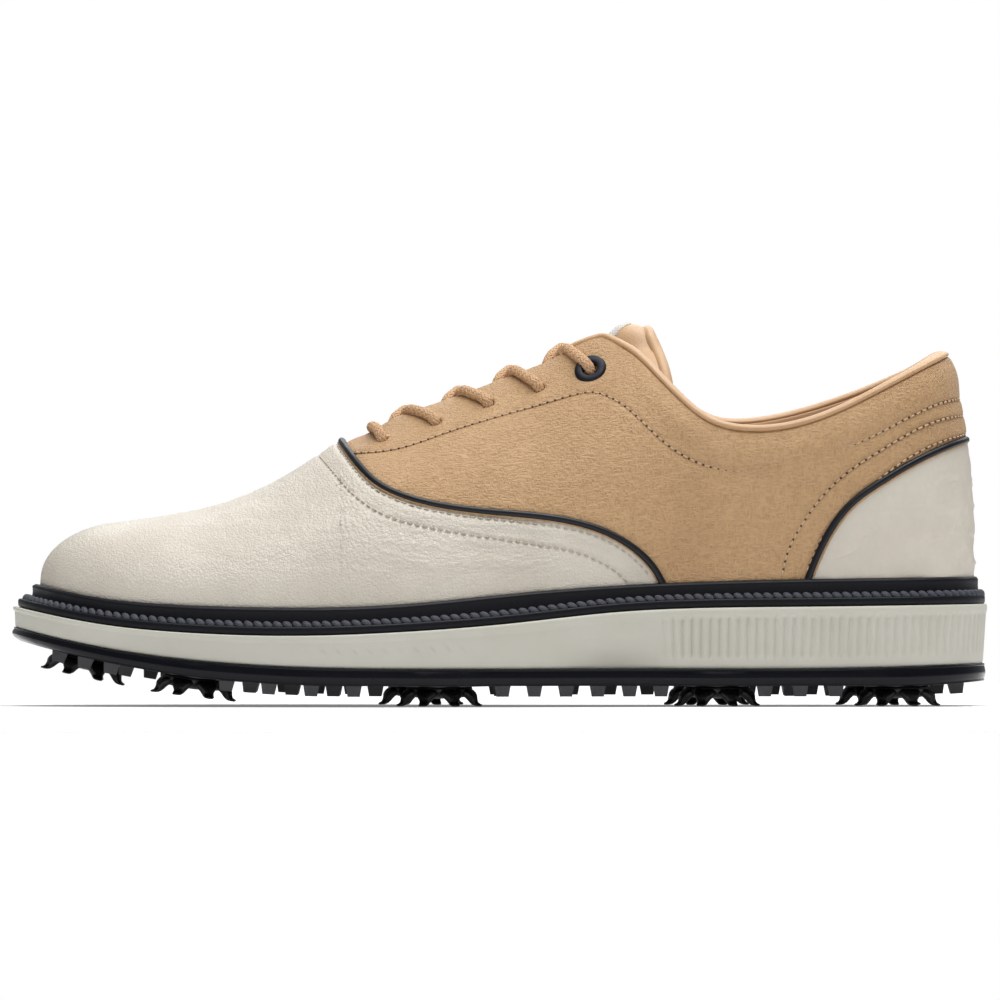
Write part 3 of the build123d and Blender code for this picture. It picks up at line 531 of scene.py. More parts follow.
class Shader:
    """A material of one Principled shader, with short calls for the nodes that feed it."""

    def __init__(self, name, roughness, specular=0.5):
        self.material = bpy.data.materials.new(name)
        self.material.use_nodes = True
        self.tree = self.material.node_tree
        self.bsdf = self.tree.nodes["Principled BSDF"]
        self.bsdf.inputs["Roughness"].default_value = roughness
        self.bsdf.inputs["Specular IOR Level"].default_value = specular
        self.place = self.node("ShaderNodeTexCoord").outputs["Object"]

    def node(self, kind, inputs=None, **settings):
        made = self.tree.nodes.new(kind)
        for key, value in settings.items():
            setattr(made, key, value)
        for key, value in (inputs or {}).items():
            self.set(made.inputs[key], value)
        return made

    def set(self, socket, value):
        if isinstance(value, bpy.types.NodeSocket):
            self.tree.links.new(value, socket)
        else:
            socket.default_value = value

    def noise(self, scale, detail=3.0, roughness=0.55):
        inputs = {"Vector": self.place, "Scale": scale, "Detail": detail, "Roughness": roughness}
        return self.node("ShaderNodeTexNoise", inputs).outputs["Fac"]

    def streaks(self, scale):
        """Noise drawn out along one direction, from one scale for each axis."""
        drawn = self.node("ShaderNodeMapping", {"Vector": self.place, "Scale": scale}).outputs["Vector"]
        value = self.node("ShaderNodeTexNoise", {"Vector": drawn, "Scale": 1.0, "Detail": 2.0}).outputs["Fac"]
        return self.spread(value, 0.35, 0.65)

    def cell(self, scale, feature="F1"):
        inputs = {"Vector": self.place, "Scale": scale}
        return self.node("ShaderNodeTexVoronoi", inputs, feature=feature).outputs["Distance"]

    def bands(self, scale, direction, distortion=1.2):
        inputs = {"Vector": self.place, "Scale": scale, "Distortion": distortion, "Detail": 2.0, "Detail Scale": 2.0}
        return self.node("ShaderNodeTexWave", inputs, bands_direction=direction).outputs["Fac"]

    def math(self, operation, a, b=0.0):
        return self.node("ShaderNodeMath", {0: a, 1: b}, operation=operation).outputs[0]

    def spread(self, value, low, high, to_low=0.0, to_high=1.0):
        inputs = {"Value": value, "From Min": low, "From Max": high, "To Min": to_low, "To Max": to_high}
        return self.node("ShaderNodeMapRange", inputs).outputs["Result"]

    def mix(self, share, first, second):
        made = self.node("ShaderNodeMix", data_type="RGBA")
        self.set(made.inputs["Factor"], share)
        sockets = [s for s in made.inputs if s.type == "RGBA"]
        self.set(sockets[0], first)
        self.set(sockets[1], second)
        return [s for s in made.outputs if s.type == "RGBA"][0]

    def colour(self, value):
        self.set(self.bsdf.inputs["Base Color"], value)

    def roughness(self, value):
        self.set(self.bsdf.inputs["Roughness"], value)

    def bump(self, height, depth, strength=1.0):
        before = self.bsdf.inputs["Normal"].links
        inputs = {"Height": height, "Distance": depth * MM, "Strength": strength}
        if before:
            inputs["Normal"] = before[0].from_socket
        self.set(self.bsdf.inputs["Normal"], self.node("ShaderNodeBump", inputs).outputs["Normal"])


def pebbled_leather(name, colour, shade, grain, depth, roughness):
    """Full-grain leather: pebbled cells, fine pores, and painted shade that darkens the valleys between the cells."""
    s = Shader(name, roughness)
    cell = s.cell(1000 / grain, "DISTANCE_TO_EDGE")
    valley = s.spread(cell, 0.0, 0.22)
    pores = s.noise(1900, 4.0)
    patches = s.noise(38, 3.0)
    tone = s.mix(s.spread(patches, 0.35, 0.65), colour, shade)
    # Painted shade: the colour is pulled a little toward the shade colour in the valleys between the pebbles.
    s.colour(s.mix(s.math("MULTIPLY", s.math("SUBTRACT", 1.0, valley), 0.22), tone, shade))
    s.roughness(s.spread(patches, 0.3, 0.7, roughness - 0.05, roughness + 0.07))
    s.bump(pores, 0.03)
    s.bump(valley, depth)
    s.bsdf.inputs["Coat Weight"].default_value = 0.08
    s.bsdf.inputs["Coat Roughness"].default_value = 0.35
    return s.material


def woven_leather(name, colour, shade, dark):
    """Leather with a fine cross-weave embossed in it, lines that wander and fade in patches, with painted shade in
    the low parts of the weave.
    """
    s = Shader(name, 0.52)
    upright = s.streaks((1700, 1700, 500))
    level = s.streaks((500, 1700, 1700))
    fade = s.spread(s.noise(60, 2.0), 0.35, 0.65, 0.7, 1.0)
    weave = s.math("MULTIPLY", s.math("MAXIMUM", upright, level), fade)
    pores = s.noise(1600, 4.0)
    patches = s.noise(30, 3.0)
    tone = s.mix(s.spread(patches, 0.35, 0.65), colour, shade)
    # Painted shade: the low parts of the weave are darkened toward the groove shade colour.
    s.colour(s.mix(s.spread(weave, 0.2, 0.65, 0.4, 0.0), tone, dark))
    s.bump(pores, 0.05)
    s.bump(weave, 0.36)
    s.bsdf.inputs["Sheen Weight"].default_value = 0.05
    return s.material


def rubber(name, colour, shade, roughness, texture=0.02, specular=0.5, scale=1500):
    """Moulded rubber or plastic: faint speckle, flow patches and a fine mould texture."""
    s = Shader(name, roughness, specular)
    patches = s.noise(45, 4.0)
    speckle = s.noise(scale, 3.0)
    s.colour(s.mix(s.spread(patches, 0.3, 0.7), colour, shade))
    s.roughness(s.spread(s.noise(160, 4.0), 0.3, 0.7, max(0.02, roughness - 0.06), roughness + 0.08))
    s.bump(speckle, texture)
    return s.material


def fabric(name, colour, shade, pitch, depth=0.08, roughness=0.85):
    """Knitted or woven cloth, from two sets of crossing yarns and loose fibres."""
    s = Shader(name, roughness, 0.3)
    weave = s.math("MULTIPLY", s.bands(314 / pitch, "X", 0.4), s.bands(314 / pitch, "Z", 0.4))
    fibres = s.noise(2600, 5.0)
    s.colour(s.mix(s.math("MULTIPLY", weave, fibres), shade, colour))
    s.bump(fibres, 0.03)
    s.bump(weave, depth)
    s.bsdf.inputs["Sheen Weight"].default_value = 0.25
    return s.material


def thread(name, colour, shade):
    s = Shader(name, 0.6, 0.4)
    twist = s.bands(900, "DIAGONAL", 0.3)
    s.colour(s.mix(twist, shade, colour))
    s.bump(twist, 0.05)
    s.bump(s.noise(3000, 4.0), 0.02)
    return s.material


def metal(name, colour, roughness):
    s = Shader(name, roughness)
    s.bsdf.inputs["Metallic"].default_value = 0.85
    s.colour(s.mix(s.noise(220, 4.0), colour, tuple(0.8 * c for c in colour[:3]) + (1.0,)))
    s.roughness(s.spread(s.noise(500, 3.0), 0.3, 0.7, roughness - 0.05, roughness + 0.1))
    s.bump(s.noise(1400, 3.0), 0.01)
    return s.material


BONE = srgb(216, 208, 194)
BONE_SHADE = srgb(206, 197, 183)
TAN = srgb(198, 160, 116)
TAN_SHADE = srgb(190, 151, 107)
# Painted shade colour for the low parts of the woven leather's weave.
TAN_GROOVE_SHADE = srgb(160, 120, 80)
MATERIALS = {
    "vamp": pebbled_leather("bone_pebbled_leather", BONE, BONE_SHADE, 1.15, 0.11, 0.42),
    "heel": pebbled_leather("bone_embossed_leather", BONE, BONE_SHADE, 3.4, 0.05, 0.36),
    "quarter": woven_leather("tan_woven_leather", TAN, TAN_SHADE, TAN_GROOVE_SHADE),
    "binding": pebbled_leather("tan_binding_leather", srgb(204, 167, 127), srgb(194, 155, 114), 0.9, 0.03, 0.45),
    "lining": fabric("tan_lining", srgb(205, 166, 130), srgb(186, 147, 110), 0.7, 0.05, 0.7),
    "piping": rubber("black_piping", srgb(16, 17, 24), srgb(11, 12, 18), 0.36, 0.03, 0.35),
    "welt": rubber("black_welt", srgb(11, 12, 20), srgb(8, 9, 16), 0.46, 0.03, 0.22),
    "rope": thread("grey_rope", srgb(76, 79, 87), srgb(50, 53, 61)),
    "midsole": rubber("bone_foam", srgb(203, 201, 189), srgb(196, 193, 180), 0.55, 0.03),
    "outsole": rubber("glossy_black_rubber", srgb(7, 9, 16), srgb(5, 6, 13), 0.2, 0.008, 0.22),
    "lugs": rubber("grey_rubber", srgb(52, 53, 57), srgb(36, 37, 41), 0.38, 0.04),
    "cleats": rubber("textured_black_plastic", srgb(16, 16, 18), srgb(10, 10, 11), 0.34, 0.16, 0.5, 1100),
    "eyelet": metal("black_enamelled_metal", srgb(44, 45, 51), 0.42),
    "lace": thread("tan_lace_yarn", srgb(214, 176, 137), srgb(186, 146, 106)),
    "tan_thread": thread("tan_thread", srgb(216, 188, 158), srgb(190, 158, 124)),
    "bone_thread": thread("bone_thread", srgb(196, 186, 170), srgb(172, 160, 142)),
    # Painted shade: the dark colour of the stitch holes.
    "hole": rubber("stitch_hole_shade", srgb(98, 70, 46), srgb(78, 55, 36), 0.9, 0.02),
    "label": fabric("bone_label", srgb(236, 233, 227), srgb(206, 201, 192), 0.8, 0.1),
    "sock": fabric("bone_sock", srgb(196, 188, 176), srgb(172, 164, 152), 1.1, 0.12),
    "board": rubber("grey_board", srgb(122, 116, 106), srgb(104, 98, 90), 0.8, 0.05),
    "foam": rubber("pale_foam", srgb(206, 200, 178), srgb(190, 183, 160), 0.9, 0.12),
    "steel": metal("shank_steel", srgb(150, 152, 156), 0.3),
    "aglet": rubber("clear_tan_tip", srgb(176, 140, 104), srgb(160, 124, 90), 0.22, 0.01),
}


# ---------------------------------------------------------------- leather panels
def columns(first, last, step, *edges):
    """Section places that are no more than a step apart on any of the edges."""
    x = first + (last - first) * (1 - np.cos(np.linspace(0, pi, 3001))) / 2
    moved = np.max([np.linalg.norm(np.diff(edge(x), axis=0), axis=1) for edge in edges], axis=0)
    along = np.concatenate([[0], np.cumsum(moved)])
    return np.interp(np.linspace(0, along[-1], ceil(along[-1] / step) + 1), along, x)


def shared_columns(first, last, step, *angles, depth=lambda x: 0.0):
    """Section places for panels that meet, close enough on every one of their edges."""
    return columns(first, last, step, *[lambda x, angle=angle: upper(x, angle(x), depth(x)) for angle in angles])


def panel_grid(side, x, low, high, rows, depth=lambda x: 0.0, tuck=TUCK):
    """Points over one side of the upper between two angles, and down behind the welt where low is the feather."""
    share = np.linspace(0, 1, rows)
    start, end = low(x)[:, None], high(x)[:, None]
    points = upper(x[:, None], start + (end - start) * share, np.broadcast_to(depth(x), x.shape)[:, None])
    feather = 0.0 if side < 0 else pi
    at_feather = np.abs(low(x) - feather) < 1e-4
    tucked = []
    for drop in (1.0, 0.66, 0.33):
        row = points[:, :1].copy()
        row[..., 2] -= (tuck * drop * at_feather)[:, None]
        tucked.append(row)
    return np.concatenate([*tucked, points], axis=1)


def groove(points, line, depth, width=0.9):
    """How far the leather is pulled in beside a stitch row."""
    return -depth * np.exp(-(distance_to(points[..., 0], points[..., 2], line) / width) ** 2)


def side_panel(side, x, low, high, rows, relief, **options):
    """One side's grid with its relief, and faces that look outward."""
    points = panel_grid(side, x, low, high, rows, **options)
    normals = grid_normals(points) * (-1 if side < 0 else 1)
    outward = normals[..., 1:2].mean() * side
    normals *= 1 if outward > 0 else -1
    points = points + normals * relief(points)[..., None]
    count, width = points.shape[:2]
    faces = grid_faces(count, width, flip=side > 0)
    return points.reshape(-1, 3), faces


def feather(side):
    return lambda x: np.full(np.shape(x), 0.0 if side < 0 else pi)


def seam_edge(side, height):
    """The angle at which one side's panel ends, from the height of its seam."""
    return lambda x: angle_at_height(x, side, height(x))


def build_shell(name, node, look, x, tops, count, relief):
    """A leather panel that runs over both sides, from the feather up to its seam."""
    made = Parts()
    for side, top in tops.items():
        made.add(*side_panel(side, x, feather(side), top, count, relief))
    shell = piece(name, np.concatenate(made.points), made.faces, MATERIALS[look], replaces=[node], solid=LEATHER)


def build_vamp():
    """The pebbled front panel, creased where the forefoot bends, pulled in at its stitch rows and its seam."""
    rows = [curve_through(VAMP_ROW_A), curve_through(VAMP_ROW_B)]

    def relief(points):
        x, z = points[..., 0], points[..., 2]
        to_seam = distance_to(x, z, vamp_seam)
        flex = ramp(x, -125, -70) * (1 - ramp(x, 5, 30)) * ramp(z, 36, 46) * (1 - ramp(z, 66, 80))
        pebbles = 0.05 + 0.22 * flex
        creases = waves(points, 7.0, (1.7, 1.0, 0.6)) * 0.22 * flex
        edge = -0.45 * np.exp(-(to_seam / 1.6) ** 2) + 0.22 * bump(to_seam, 3.4, 2.6)
        return edge + sum(groove(points, row, 0.28) for row in rows) + creases + pebbles * (cells(points, 1.6) - 1)

    tops = {side: seam_edge(side, lambda x: np.where(x < -60, OVER_THE_CROWN, vamp_seam_z(x))) for side in (-1, 1)}
    x = shared_columns(UPPER_TOE, 54.0, PANEL_STEP, feather(-1), feather(1), *tops.values())
    build_shell("vamp_leather", "vamp", "vamp", x, tops, 100, relief)


def build_heel_cap():
    """The panel round the heel, with low folds and ridges inside its seam."""
    def relief(points):
        to_seam = distance_to(points[..., 0], points[..., 2], heel_seam)
        inside = ramp(to_seam, 3.0, 9.0)
        folds = waves(points, 9.0, (1.0, 1.0, 0.55)) + 0.5 * waves(points + 31, 4.5, (1.2, 1.0, 0.7))
        ridges = 1 - np.abs(waves(points + 57, 11.0, (1.4, 1.0, 0.7))) * 3.2
        return -0.35 * np.exp(-(to_seam / 1.6) ** 2) + inside * (0.42 * folds + 0.38 * np.clip(ridges, 0, 1) ** 3)

    tops = {side: seam_edge(side, heel_seam_z) for side in (-1, 1)}
    x = shared_columns(94.4, UPPER_HEEL, PANEL_STEP, feather(-1), feather(1), *tops.values())
    build_shell("heel_cap_leather", "heel_cap", "heel", x, tops, 60, relief)


def quarter_low(side):
    def low(x):
        z = np.where(x < 70, vamp_seam_z(x), heel_seam_z(x))
        free = (x > 54.5) & (x < 93.8)
        end = 0.0 if side < 0 else pi
        return np.where(free, end, angle_at_height(x, side, z))
    return low


def quarter_high(side, depth=lambda x: 0.0):
    def high(x):
        collar = angle_at_height(x, side, np.where(x < 20, OVER_THE_CROWN, topline(x, side) - COLLAR_DROP), depth(x))
        throat = edge_angle(x, side)
        throat = np.where(x < THROAT_BACK, throat, pi / 2)
        return np.minimum(collar, throat) if side < 0 else np.maximum(collar, throat)
    return high


def open_holes(points, faces, places):
    """Leaves round holes in a sheet: drops the faces inside each one and draws the rim onto its circle."""
    points = points.copy()
    inside = np.zeros(len(points), bool)
    for centre, axis in places:
        away = points - centre
        away -= (away @ axis)[:, None] * axis
        near = np.linalg.norm(points - centre, axis=1) < 8
        r = np.linalg.norm(away, axis=1)
        dropped, drawn = HOLE_R - 0.25, HOLE_R + 0.55
        inside |= near & (r < dropped)
        rim = near & (r >= dropped) & (r < drawn)
        points[rim] += away[rim] * (HOLE_R / r[rim] - 1)[:, None]
    kept = [f for f in faces if not any(inside[v] for v in f)]
    return points, kept


def hole_place(row, side):
    x, z = HOLES[row]
    angle = angle_at_height(np.array(x), side, z)
    return x, angle


def below_topline(points, side):
    return topline(np.clip(points[..., 0], 30, 148), side) - points[..., 2]


def build_quarters():
    """The woven side panels with their lace holes, padded under the collar."""
    rows = [curve_through(line) for line in (COLLAR_ROW, COUNTER_ROW, SEAM_ROW)]

    def relief(points, side):
        x, z = points[..., 0], points[..., 2]
        seams = np.minimum(distance_to(x, z, vamp_seam), distance_to(x, z, heel_seam))
        edge = -0.4 * np.exp(-(seams / 1.5) ** 2)
        below_edge = below_topline(points, side)
        padding = 0.9 * ramp(x, 34, 60) * bump(below_edge, 8.5, 8.5)
        drape = 0.35 * waves(points, 26.0)
        crease = -0.7 * ramp(x, 34, 40) * bump(below_edge, 1.2, 1.5)
        return edge + padding + drape + crease + edge_turn(points) + sum(groove(points, row, 0.3) for row in rows)

    for side, name in ((-1, "lateral"), (1, "medial")):
        low, high = quarter_low(side), quarter_high(side)
        points, faces = side_panel(side, shared_columns(-50.3, 147.0, PANEL_STEP, low, high), low, high, 84,
                                   lambda points: relief(points, side))
        places = []
        for row in range(len(HOLES)):
            x, angle = hole_place(row, side)
            places.append((upper(x, angle), upper_normal(x, angle)))
        points, faces = open_holes(points, faces, places)
        shell = piece(f"quarter_{name}_leather", points, faces, MATERIALS["quarter"],
                      replaces=[f"quarter_{name}"], solid=LEATHER)


def build_lining():
    """The collar's padded lining, seen inside the mouth of the shoe."""
    def relief(points, side):
        return -1.8 * ramp(points[..., 0], 40, 62) * bump(below_topline(points, side), 3.8, 4.8)

    made = Parts()
    depth = lambda x: LINING_FACE + filling(x) + LINING
    highs = {side: quarter_high(side, depth) for side in (-1, 1)}
    x = shared_columns(-48.5, UPPER_HEEL - 4.98, 1.3, feather(-1), feather(1), *highs.values(), depth=depth)
    for side, high in highs.items():
        points, faces = side_panel(side, x, feather(side), high, 60, lambda points: relief(points, side),
                                   depth=depth, tuck=2.0)
        made.add(points, [f[::-1] for f in faces])
    shell = piece("collar_lining", np.concatenate(made.points), made.faces, MATERIALS["lining"],
                  replaces=["quarter_lining"], solid=LINING)
    return shell


def side_line(line, side, height=0.0):
    """A side-view line laid on the upper's face."""
    angle = angle_at_height(line[:, 0], side, line[:, 1])
    return upper_off(line[:, 0], angle, np.full(len(line), height))


def seam_line(seam):
    """A seam right round the shoe, from the lateral feather over the crown to the medial one."""
    kept = seam[seam[:, 1] < crown_height_at(seam[:, 0]) - 0.15]
    kept = kept[kept[:, 1] > rib_top(kept[:, 0]) - 3.0]
    halves = []
    for side in (-1, 1):
        points = side_line(kept, side)
        under = kept[:, 1] < rib_top(kept[:, 0])
        points[under, 2] = kept[under, 1]
        halves.append(points)
    lateral, medial = halves
    return np.concatenate([lateral, medial[::-1]])


def crown_height_at(x):
    return upper(x, np.full(np.shape(x), pi / 2))[..., 2]


def spaced(line, step):
    """The same line with its points evenly spaced."""
    along = run_length(line)
    at = np.linspace(0, along[-1], ceil(along[-1] / step) + 1)
    return np.stack([np.interp(at, along, line[:, k]) for k in range(3)], axis=1)


def eased(line, times=6):
    """The same line with small kinks taken out."""
    for _ in range(times):
        line = np.concatenate([line[:1], (line[:-2] + 2 * line[1:-1] + line[2:]) / 4, line[-1:]])
    return line


def build_piping():
    """A round cord in each seam between the panels, sunk a little into it."""
    middle = np.array([20.0, 5.0, 55.0])
    for name, seam in (("vamp_piping", vamp_seam), ("heel_piping", heel_seam)):
        line = eased(spaced(seam_line(seam), 0.7))
        outward = line - middle
        outward[:, 0] *= 0.15 if name == "vamp_piping" else 1.0
        side, up = frames_toward(line, outward)
        made = Parts()
        made.add(*tube(line - up * PIPING_SINK, PIPING_R, PIPING_R, side, up, 16))
        cover = made.piece(f"{name}_cord", MATERIALS["piping"], replaces=[name])


def edge_turn(points):
    """How far the facing's edge is turned: up beside the last hole, and pressed down by the first bar of lace."""
    x, below = points[..., 0], crown(points[..., 0]) - points[..., 2]
    turned_up = 1.5 * bump(x, 27.0, 13.0) * ramp(-below, -9.0, -3.0)
    return turned_up - 1.7 * bump(x, -44.0, 13.0) * ramp(-below, -6.5, -2.5)


def build_binding():
    """The rolled edge round the collar, over the leather, the foam and the lining."""
    halves = []
    for side in (-1, 1):
        high = quarter_high(side)
        x = columns(19.0, 146.0, PANEL_STEP, lambda x: upper(x, high(x)))
        x = x[(x < 100) | (crown_height_at(x) > topline(x, side) + 0.1)]
        angle = high(x)
        out = upper_normal(x, angle)
        edge = upper(x, angle)
        thick = (LINING_FACE + LINING + filling(x)) * ramp(x, 14.0, 28.0)
        halves.append((edge + out * edge_turn(edge)[:, None], out, thick))
    lateral, medial = halves
    line = np.concatenate([lateral[0], medial[0][::-1]])
    out = np.concatenate([lateral[1], medial[1][::-1]])
    thick = np.concatenate([lateral[2], medial[2][::-1]])
    level = unit(out * (1.0, 1.0, 0.25))
    line = eased(line - level * (thick / 2 - 0.1)[:, None], 4)
    up = unit(np.cross(np.gradient(line, axis=0), level))
    up *= np.sign(up[:, 2:3])
    made = Parts()
    made.add(*tube(line + up * ROLL_RISE, thick / 2 + ROLL_PROUD, ROLL_HALF, level, up, 20))
    roll = made.piece("collar_binding", MATERIALS["binding"], replaces=["topline_binding"])


def build_eyelets():
    """The rounded metal ring round each last hole, with a plain face."""
    profile = [(2.2, -2.6), (2.12, -0.4), (2.2, 0.6), (2.5, 1.0), (2.9, 1.12), (4.2, 1.08), (4.75, 0.9), (5.05, 0.5),
               (5.1, 0.0), (5.0, -0.6), (2.9, -0.9), (2.9, -2.6), (2.2, -2.6)]
    ring, faces = turned(profile, 64)
    for side, name in ((-1, "lateral"), (1, "medial")):
        x, angle = hole_place(len(HOLES) - 1, side)
        out = unit(upper_normal(x, angle) + np.array([0.0, side * 0.22, -0.1]))
        first = unit(np.cross(out, (0.0, 1.0, 0.0)))
        basis = np.stack([first, np.cross(out, first), out])
        made = piece(f"eyelet_ring_{name}", ring @ basis + upper(x, angle) + out * 0.25, faces,
                     MATERIALS["eyelet"], replaces=[f"eyelet_{name}"])


# ---------------------------------------------------------------- stitching
def stitch(made, start, end, out, radius, dip):
    """One stitch between two holes: it rises from one, lies on the leather and goes down the other."""
    ball, faces = blob(7, 6)
    middle = (start + end) / 2
    along = end - start
    length = np.linalg.norm(along)
    along = along / length
    across = unit(np.cross(out, along))
    lift = radius * 0.55 - dip * ball[:, :1] ** 2
    points = (middle + ball[:, :1] * along * length / 2 + ball[:, 1:2] * across * radius
              + (ball[:, 2:3] * radius + lift) * np.cross(along, across))
    made.add(points, faces)


def build_stitches():
    """Rows of stitches on both sides, and a small dark ball of painted shade at each tan one's start, where its hole
    is.
    """
    ball, ball_faces = blob(5, 6)
    rows = (("tan", (COLLAR_ROW, COUNTER_ROW, SEAM_ROW)), ("bone", (VAMP_ROW_A, VAMP_ROW_B)))
    holes = Parts()
    for tone, lines in rows:
        made = Parts()
        for line in lines:
            for side in (-1, 1):
                flat = curve_through(line)
                flat = flat[flat[:, 1] < crown_height_at(flat[:, 0]) - 0.4]
                flat = flat[flat[:, 1] > rib_top(flat[:, 0]) + 0.4]
                surface = side_line(flat, side, -0.22)
                angle = angle_at_height(flat[:, 0], side, flat[:, 1])
                out = upper_normal(flat[:, 0], angle)
                knots = run_length(surface)
                at = np.arange(STITCH_PITCH / 2, knots[-1] - STITCH_PITCH, STITCH_PITCH)
                read = lambda t, values: np.array([np.interp(t, knots, column) for column in values.T])
                for t in at:
                    normal = read(t + STITCH_PITCH / 2, out)
                    ends = read(t + STITCH_GAP, surface), read(t + STITCH_PITCH - STITCH_GAP, surface)
                    stitch(made, *ends, normal, THREAD_R, 0.3)
                    if tone == "tan":
                        # A dark ball of painted shade stands for the stitch hole.
                        holes.add(read(t, surface) + ball * STITCH_HOLE_R - normal * 0.1, ball_faces)
        rows_piece = made.piece(f"stitching_{tone}", MATERIALS[f"{tone}_thread"])
    holes.piece("stitch_holes", MATERIALS["hole"])


# ---------------------------------------------------------------- sole
def swept(name, stations, profile, material, replaces=()):
    """A closed band round the shoe; profile gives (grow, height) of x for each of its points."""
    angle = np.linspace(0, tau, stations, endpoint=False)
    rings = []
    for grow, height in profile:
        x, y = outline(angle, grow)
        rings.append(np.stack([x, y, height(x)], axis=1))
    rings.append(rings[0])
    points = np.stack(rings, axis=1)
    made = piece(name, points, grid_faces(stations, len(rings), closed=True), material, replaces=replaces)
    return made


def build_welt():
    """The storm welt: a flat flange with a rounded lip, and the rib that stands against the upper."""
    top = lambda x: flange_foot(x) + FLANGE
    at = lambda drop: lambda x: rib_top(x) - drop
    over = lambda rise: lambda x: top(x) + rise
    profile = [
        (RIB_INNER, over(0.0)), (RIB_INNER, at(0.5)), (RIB_INNER + 0.15, at(0.12)), (RIB_INNER + 0.4, at(0.0)),
        (RIB - 0.85, at(0.04)), (RIB - 0.1, at(0.75)), (RIB, at(1.0)), (RIB - 0.05, at(1.5)), (RIB - 0.1, at(2.6)),
        (RIB + 0.1, over(1.0)), (RIB + 0.35, over(0.25)), (RIB + 0.8, over(-0.1)), (3.4, over(-0.15)),
        (4.2, over(-0.1)), (4.7, over(0.0)), (5.1, over(-0.25)), (FLANGE_GROW, over(-0.7)), (FLANGE_GROW, over(-2.1)),
        (5.1, over(-2.5)), (4.6, over(-FLANGE)), (FLANGE_INNER_GROW, over(-FLANGE)), (FLANGE_INNER_GROW, over(0.0)),
    ]
    swept("storm_welt", 720, profile, MATERIALS["welt"], ["welt"])


def outline_walk(grow, step):
    """Evenly spaced angles round a plan outline."""
    angle = np.linspace(0, tau, 4001)
    x, y = outline(angle, grow)
    along = np.concatenate([[0], np.cumsum(np.hypot(np.diff(x), np.diff(y)))])
    count = round(along[-1] / step)
    return np.interp(np.arange(count) * along[-1] / count, along, angle)


def build_rope():
    """The welt stitching: a twisted cord that shows as slanting bumps."""
    ball, faces = blob(8, 10)
    made = Parts()
    x, y = outline(outline_walk(3.45, ROPE_PITCH), 3.45)
    line = np.stack([x, y, flange_foot(x) + FLANGE + 0.35], axis=1)
    along = unit(np.roll(line, -1, axis=0) - np.roll(line, 1, axis=0))
    across = unit(np.cross(along, (0.0, 0.0, 1.0)))
    up = np.cross(across, along)
    up *= np.sign(up[:, 2:3])
    for i, place in enumerate(line):
        lean = unit(along[i] * 0.90 + across[i] * 0.30 - up[i] * 0.30)
        sizes = np.array(ROPE_BUMP)[:, None] * (lean, np.cross(up[i], lean), up[i])
        made.add(place + ball @ sizes, faces)
    made.piece("welt_rope", MATERIALS["rope"], replaces=["welt_stitches"])


def pushed(stations, grow, step, share):
    """A plan outline moved by a share of the way to the one that is a step further out."""
    x, y = outline(stations, grow)
    toward_x, toward_y = outline(stations, grow + step)
    return x + (toward_x - x) * share, y + (toward_y - y) * share


def build_midsole():
    """The foam midsole: a lip under the welt, flutes round the heel, ticks at the ball and a drawn-in waist."""
    stations = outline_walk(SOLE_GROW, SOLE_STEP)
    heights = np.concatenate([np.linspace(0, 0.08, 4), np.linspace(0.13, 0.87, 20), np.linspace(0.9, 1.0, 6)])
    x0 = outline(stations, SOLE_GROW)[0]
    walk = np.arange(len(stations)) * SOLE_STEP
    between_flutes = 1 - np.abs(np.sin(pi * walk / FLUTE_PITCH)) ** 0.6
    foot_grow = MIDSOLE_FOOT_GROW + 1.7 * ramp(-x0, 120, 150)
    on_heel = ramp(x0, 47.0, 57.0)
    on_ticks = (stations < pi) * ramp(x0, -64, -58) * (1 - ramp(x0, -14, -6))
    ledge_at = np.interp(x0, [-100, -20, 30, 60], [0.80, 0.80, 0.83, 0.87])
    rings = []
    for v in heights:
        grow = foot_grow + (SOLE_GROW - foot_grow) * v
        rounding = bump(v, 0.0, 0.05) * 0.35 + bump(v, 1.0, 0.04) * 0.4
        fluted = on_heel * ramp(v, 0.14, 0.24) * (1 - ramp(v, 0.82, 0.88))
        ledge = LEDGE * ramp(v, ledge_at - 0.02, ledge_at + 0.02)
        waist = bump(x0, 36.0, 22.0) * bump(v, 0.18, 0.45) * WAIST_DEPTH
        ticks = on_ticks * bump((x0 + 9.0 * v) % TICK_PITCH, 2.4, 0.55) * bump(v, 0.52, 0.16) * TICK_DEPTH
        grow = grow - rounding + ledge - LEDGE - waist - ticks - fluted * between_flutes * FLUTE_DEPTH
        x, y = pushed(stations, SOLE_GROW, -1.0, SOLE_GROW - grow)
        z = midsole_foot(x) + 0.02 + (flange_foot(x) - midsole_foot(x) - 0.07) * v
        rings.append(np.stack([x, y, z], axis=1))
    inner_x, inner_y = outline(stations, -6.0)
    top = np.stack([inner_x, inner_y, flange_foot(inner_x) - 0.05], axis=1)
    foot = np.stack([inner_x, inner_y, midsole_foot(inner_x) + 0.05], axis=1)
    points = np.stack([foot, *rings, top, foot], axis=1)
    made = piece("midsole_foam", points, grid_faces(len(stations), len(rings) + 3, closed=True), MATERIALS["midsole"],
                 replaces=["midsole"])


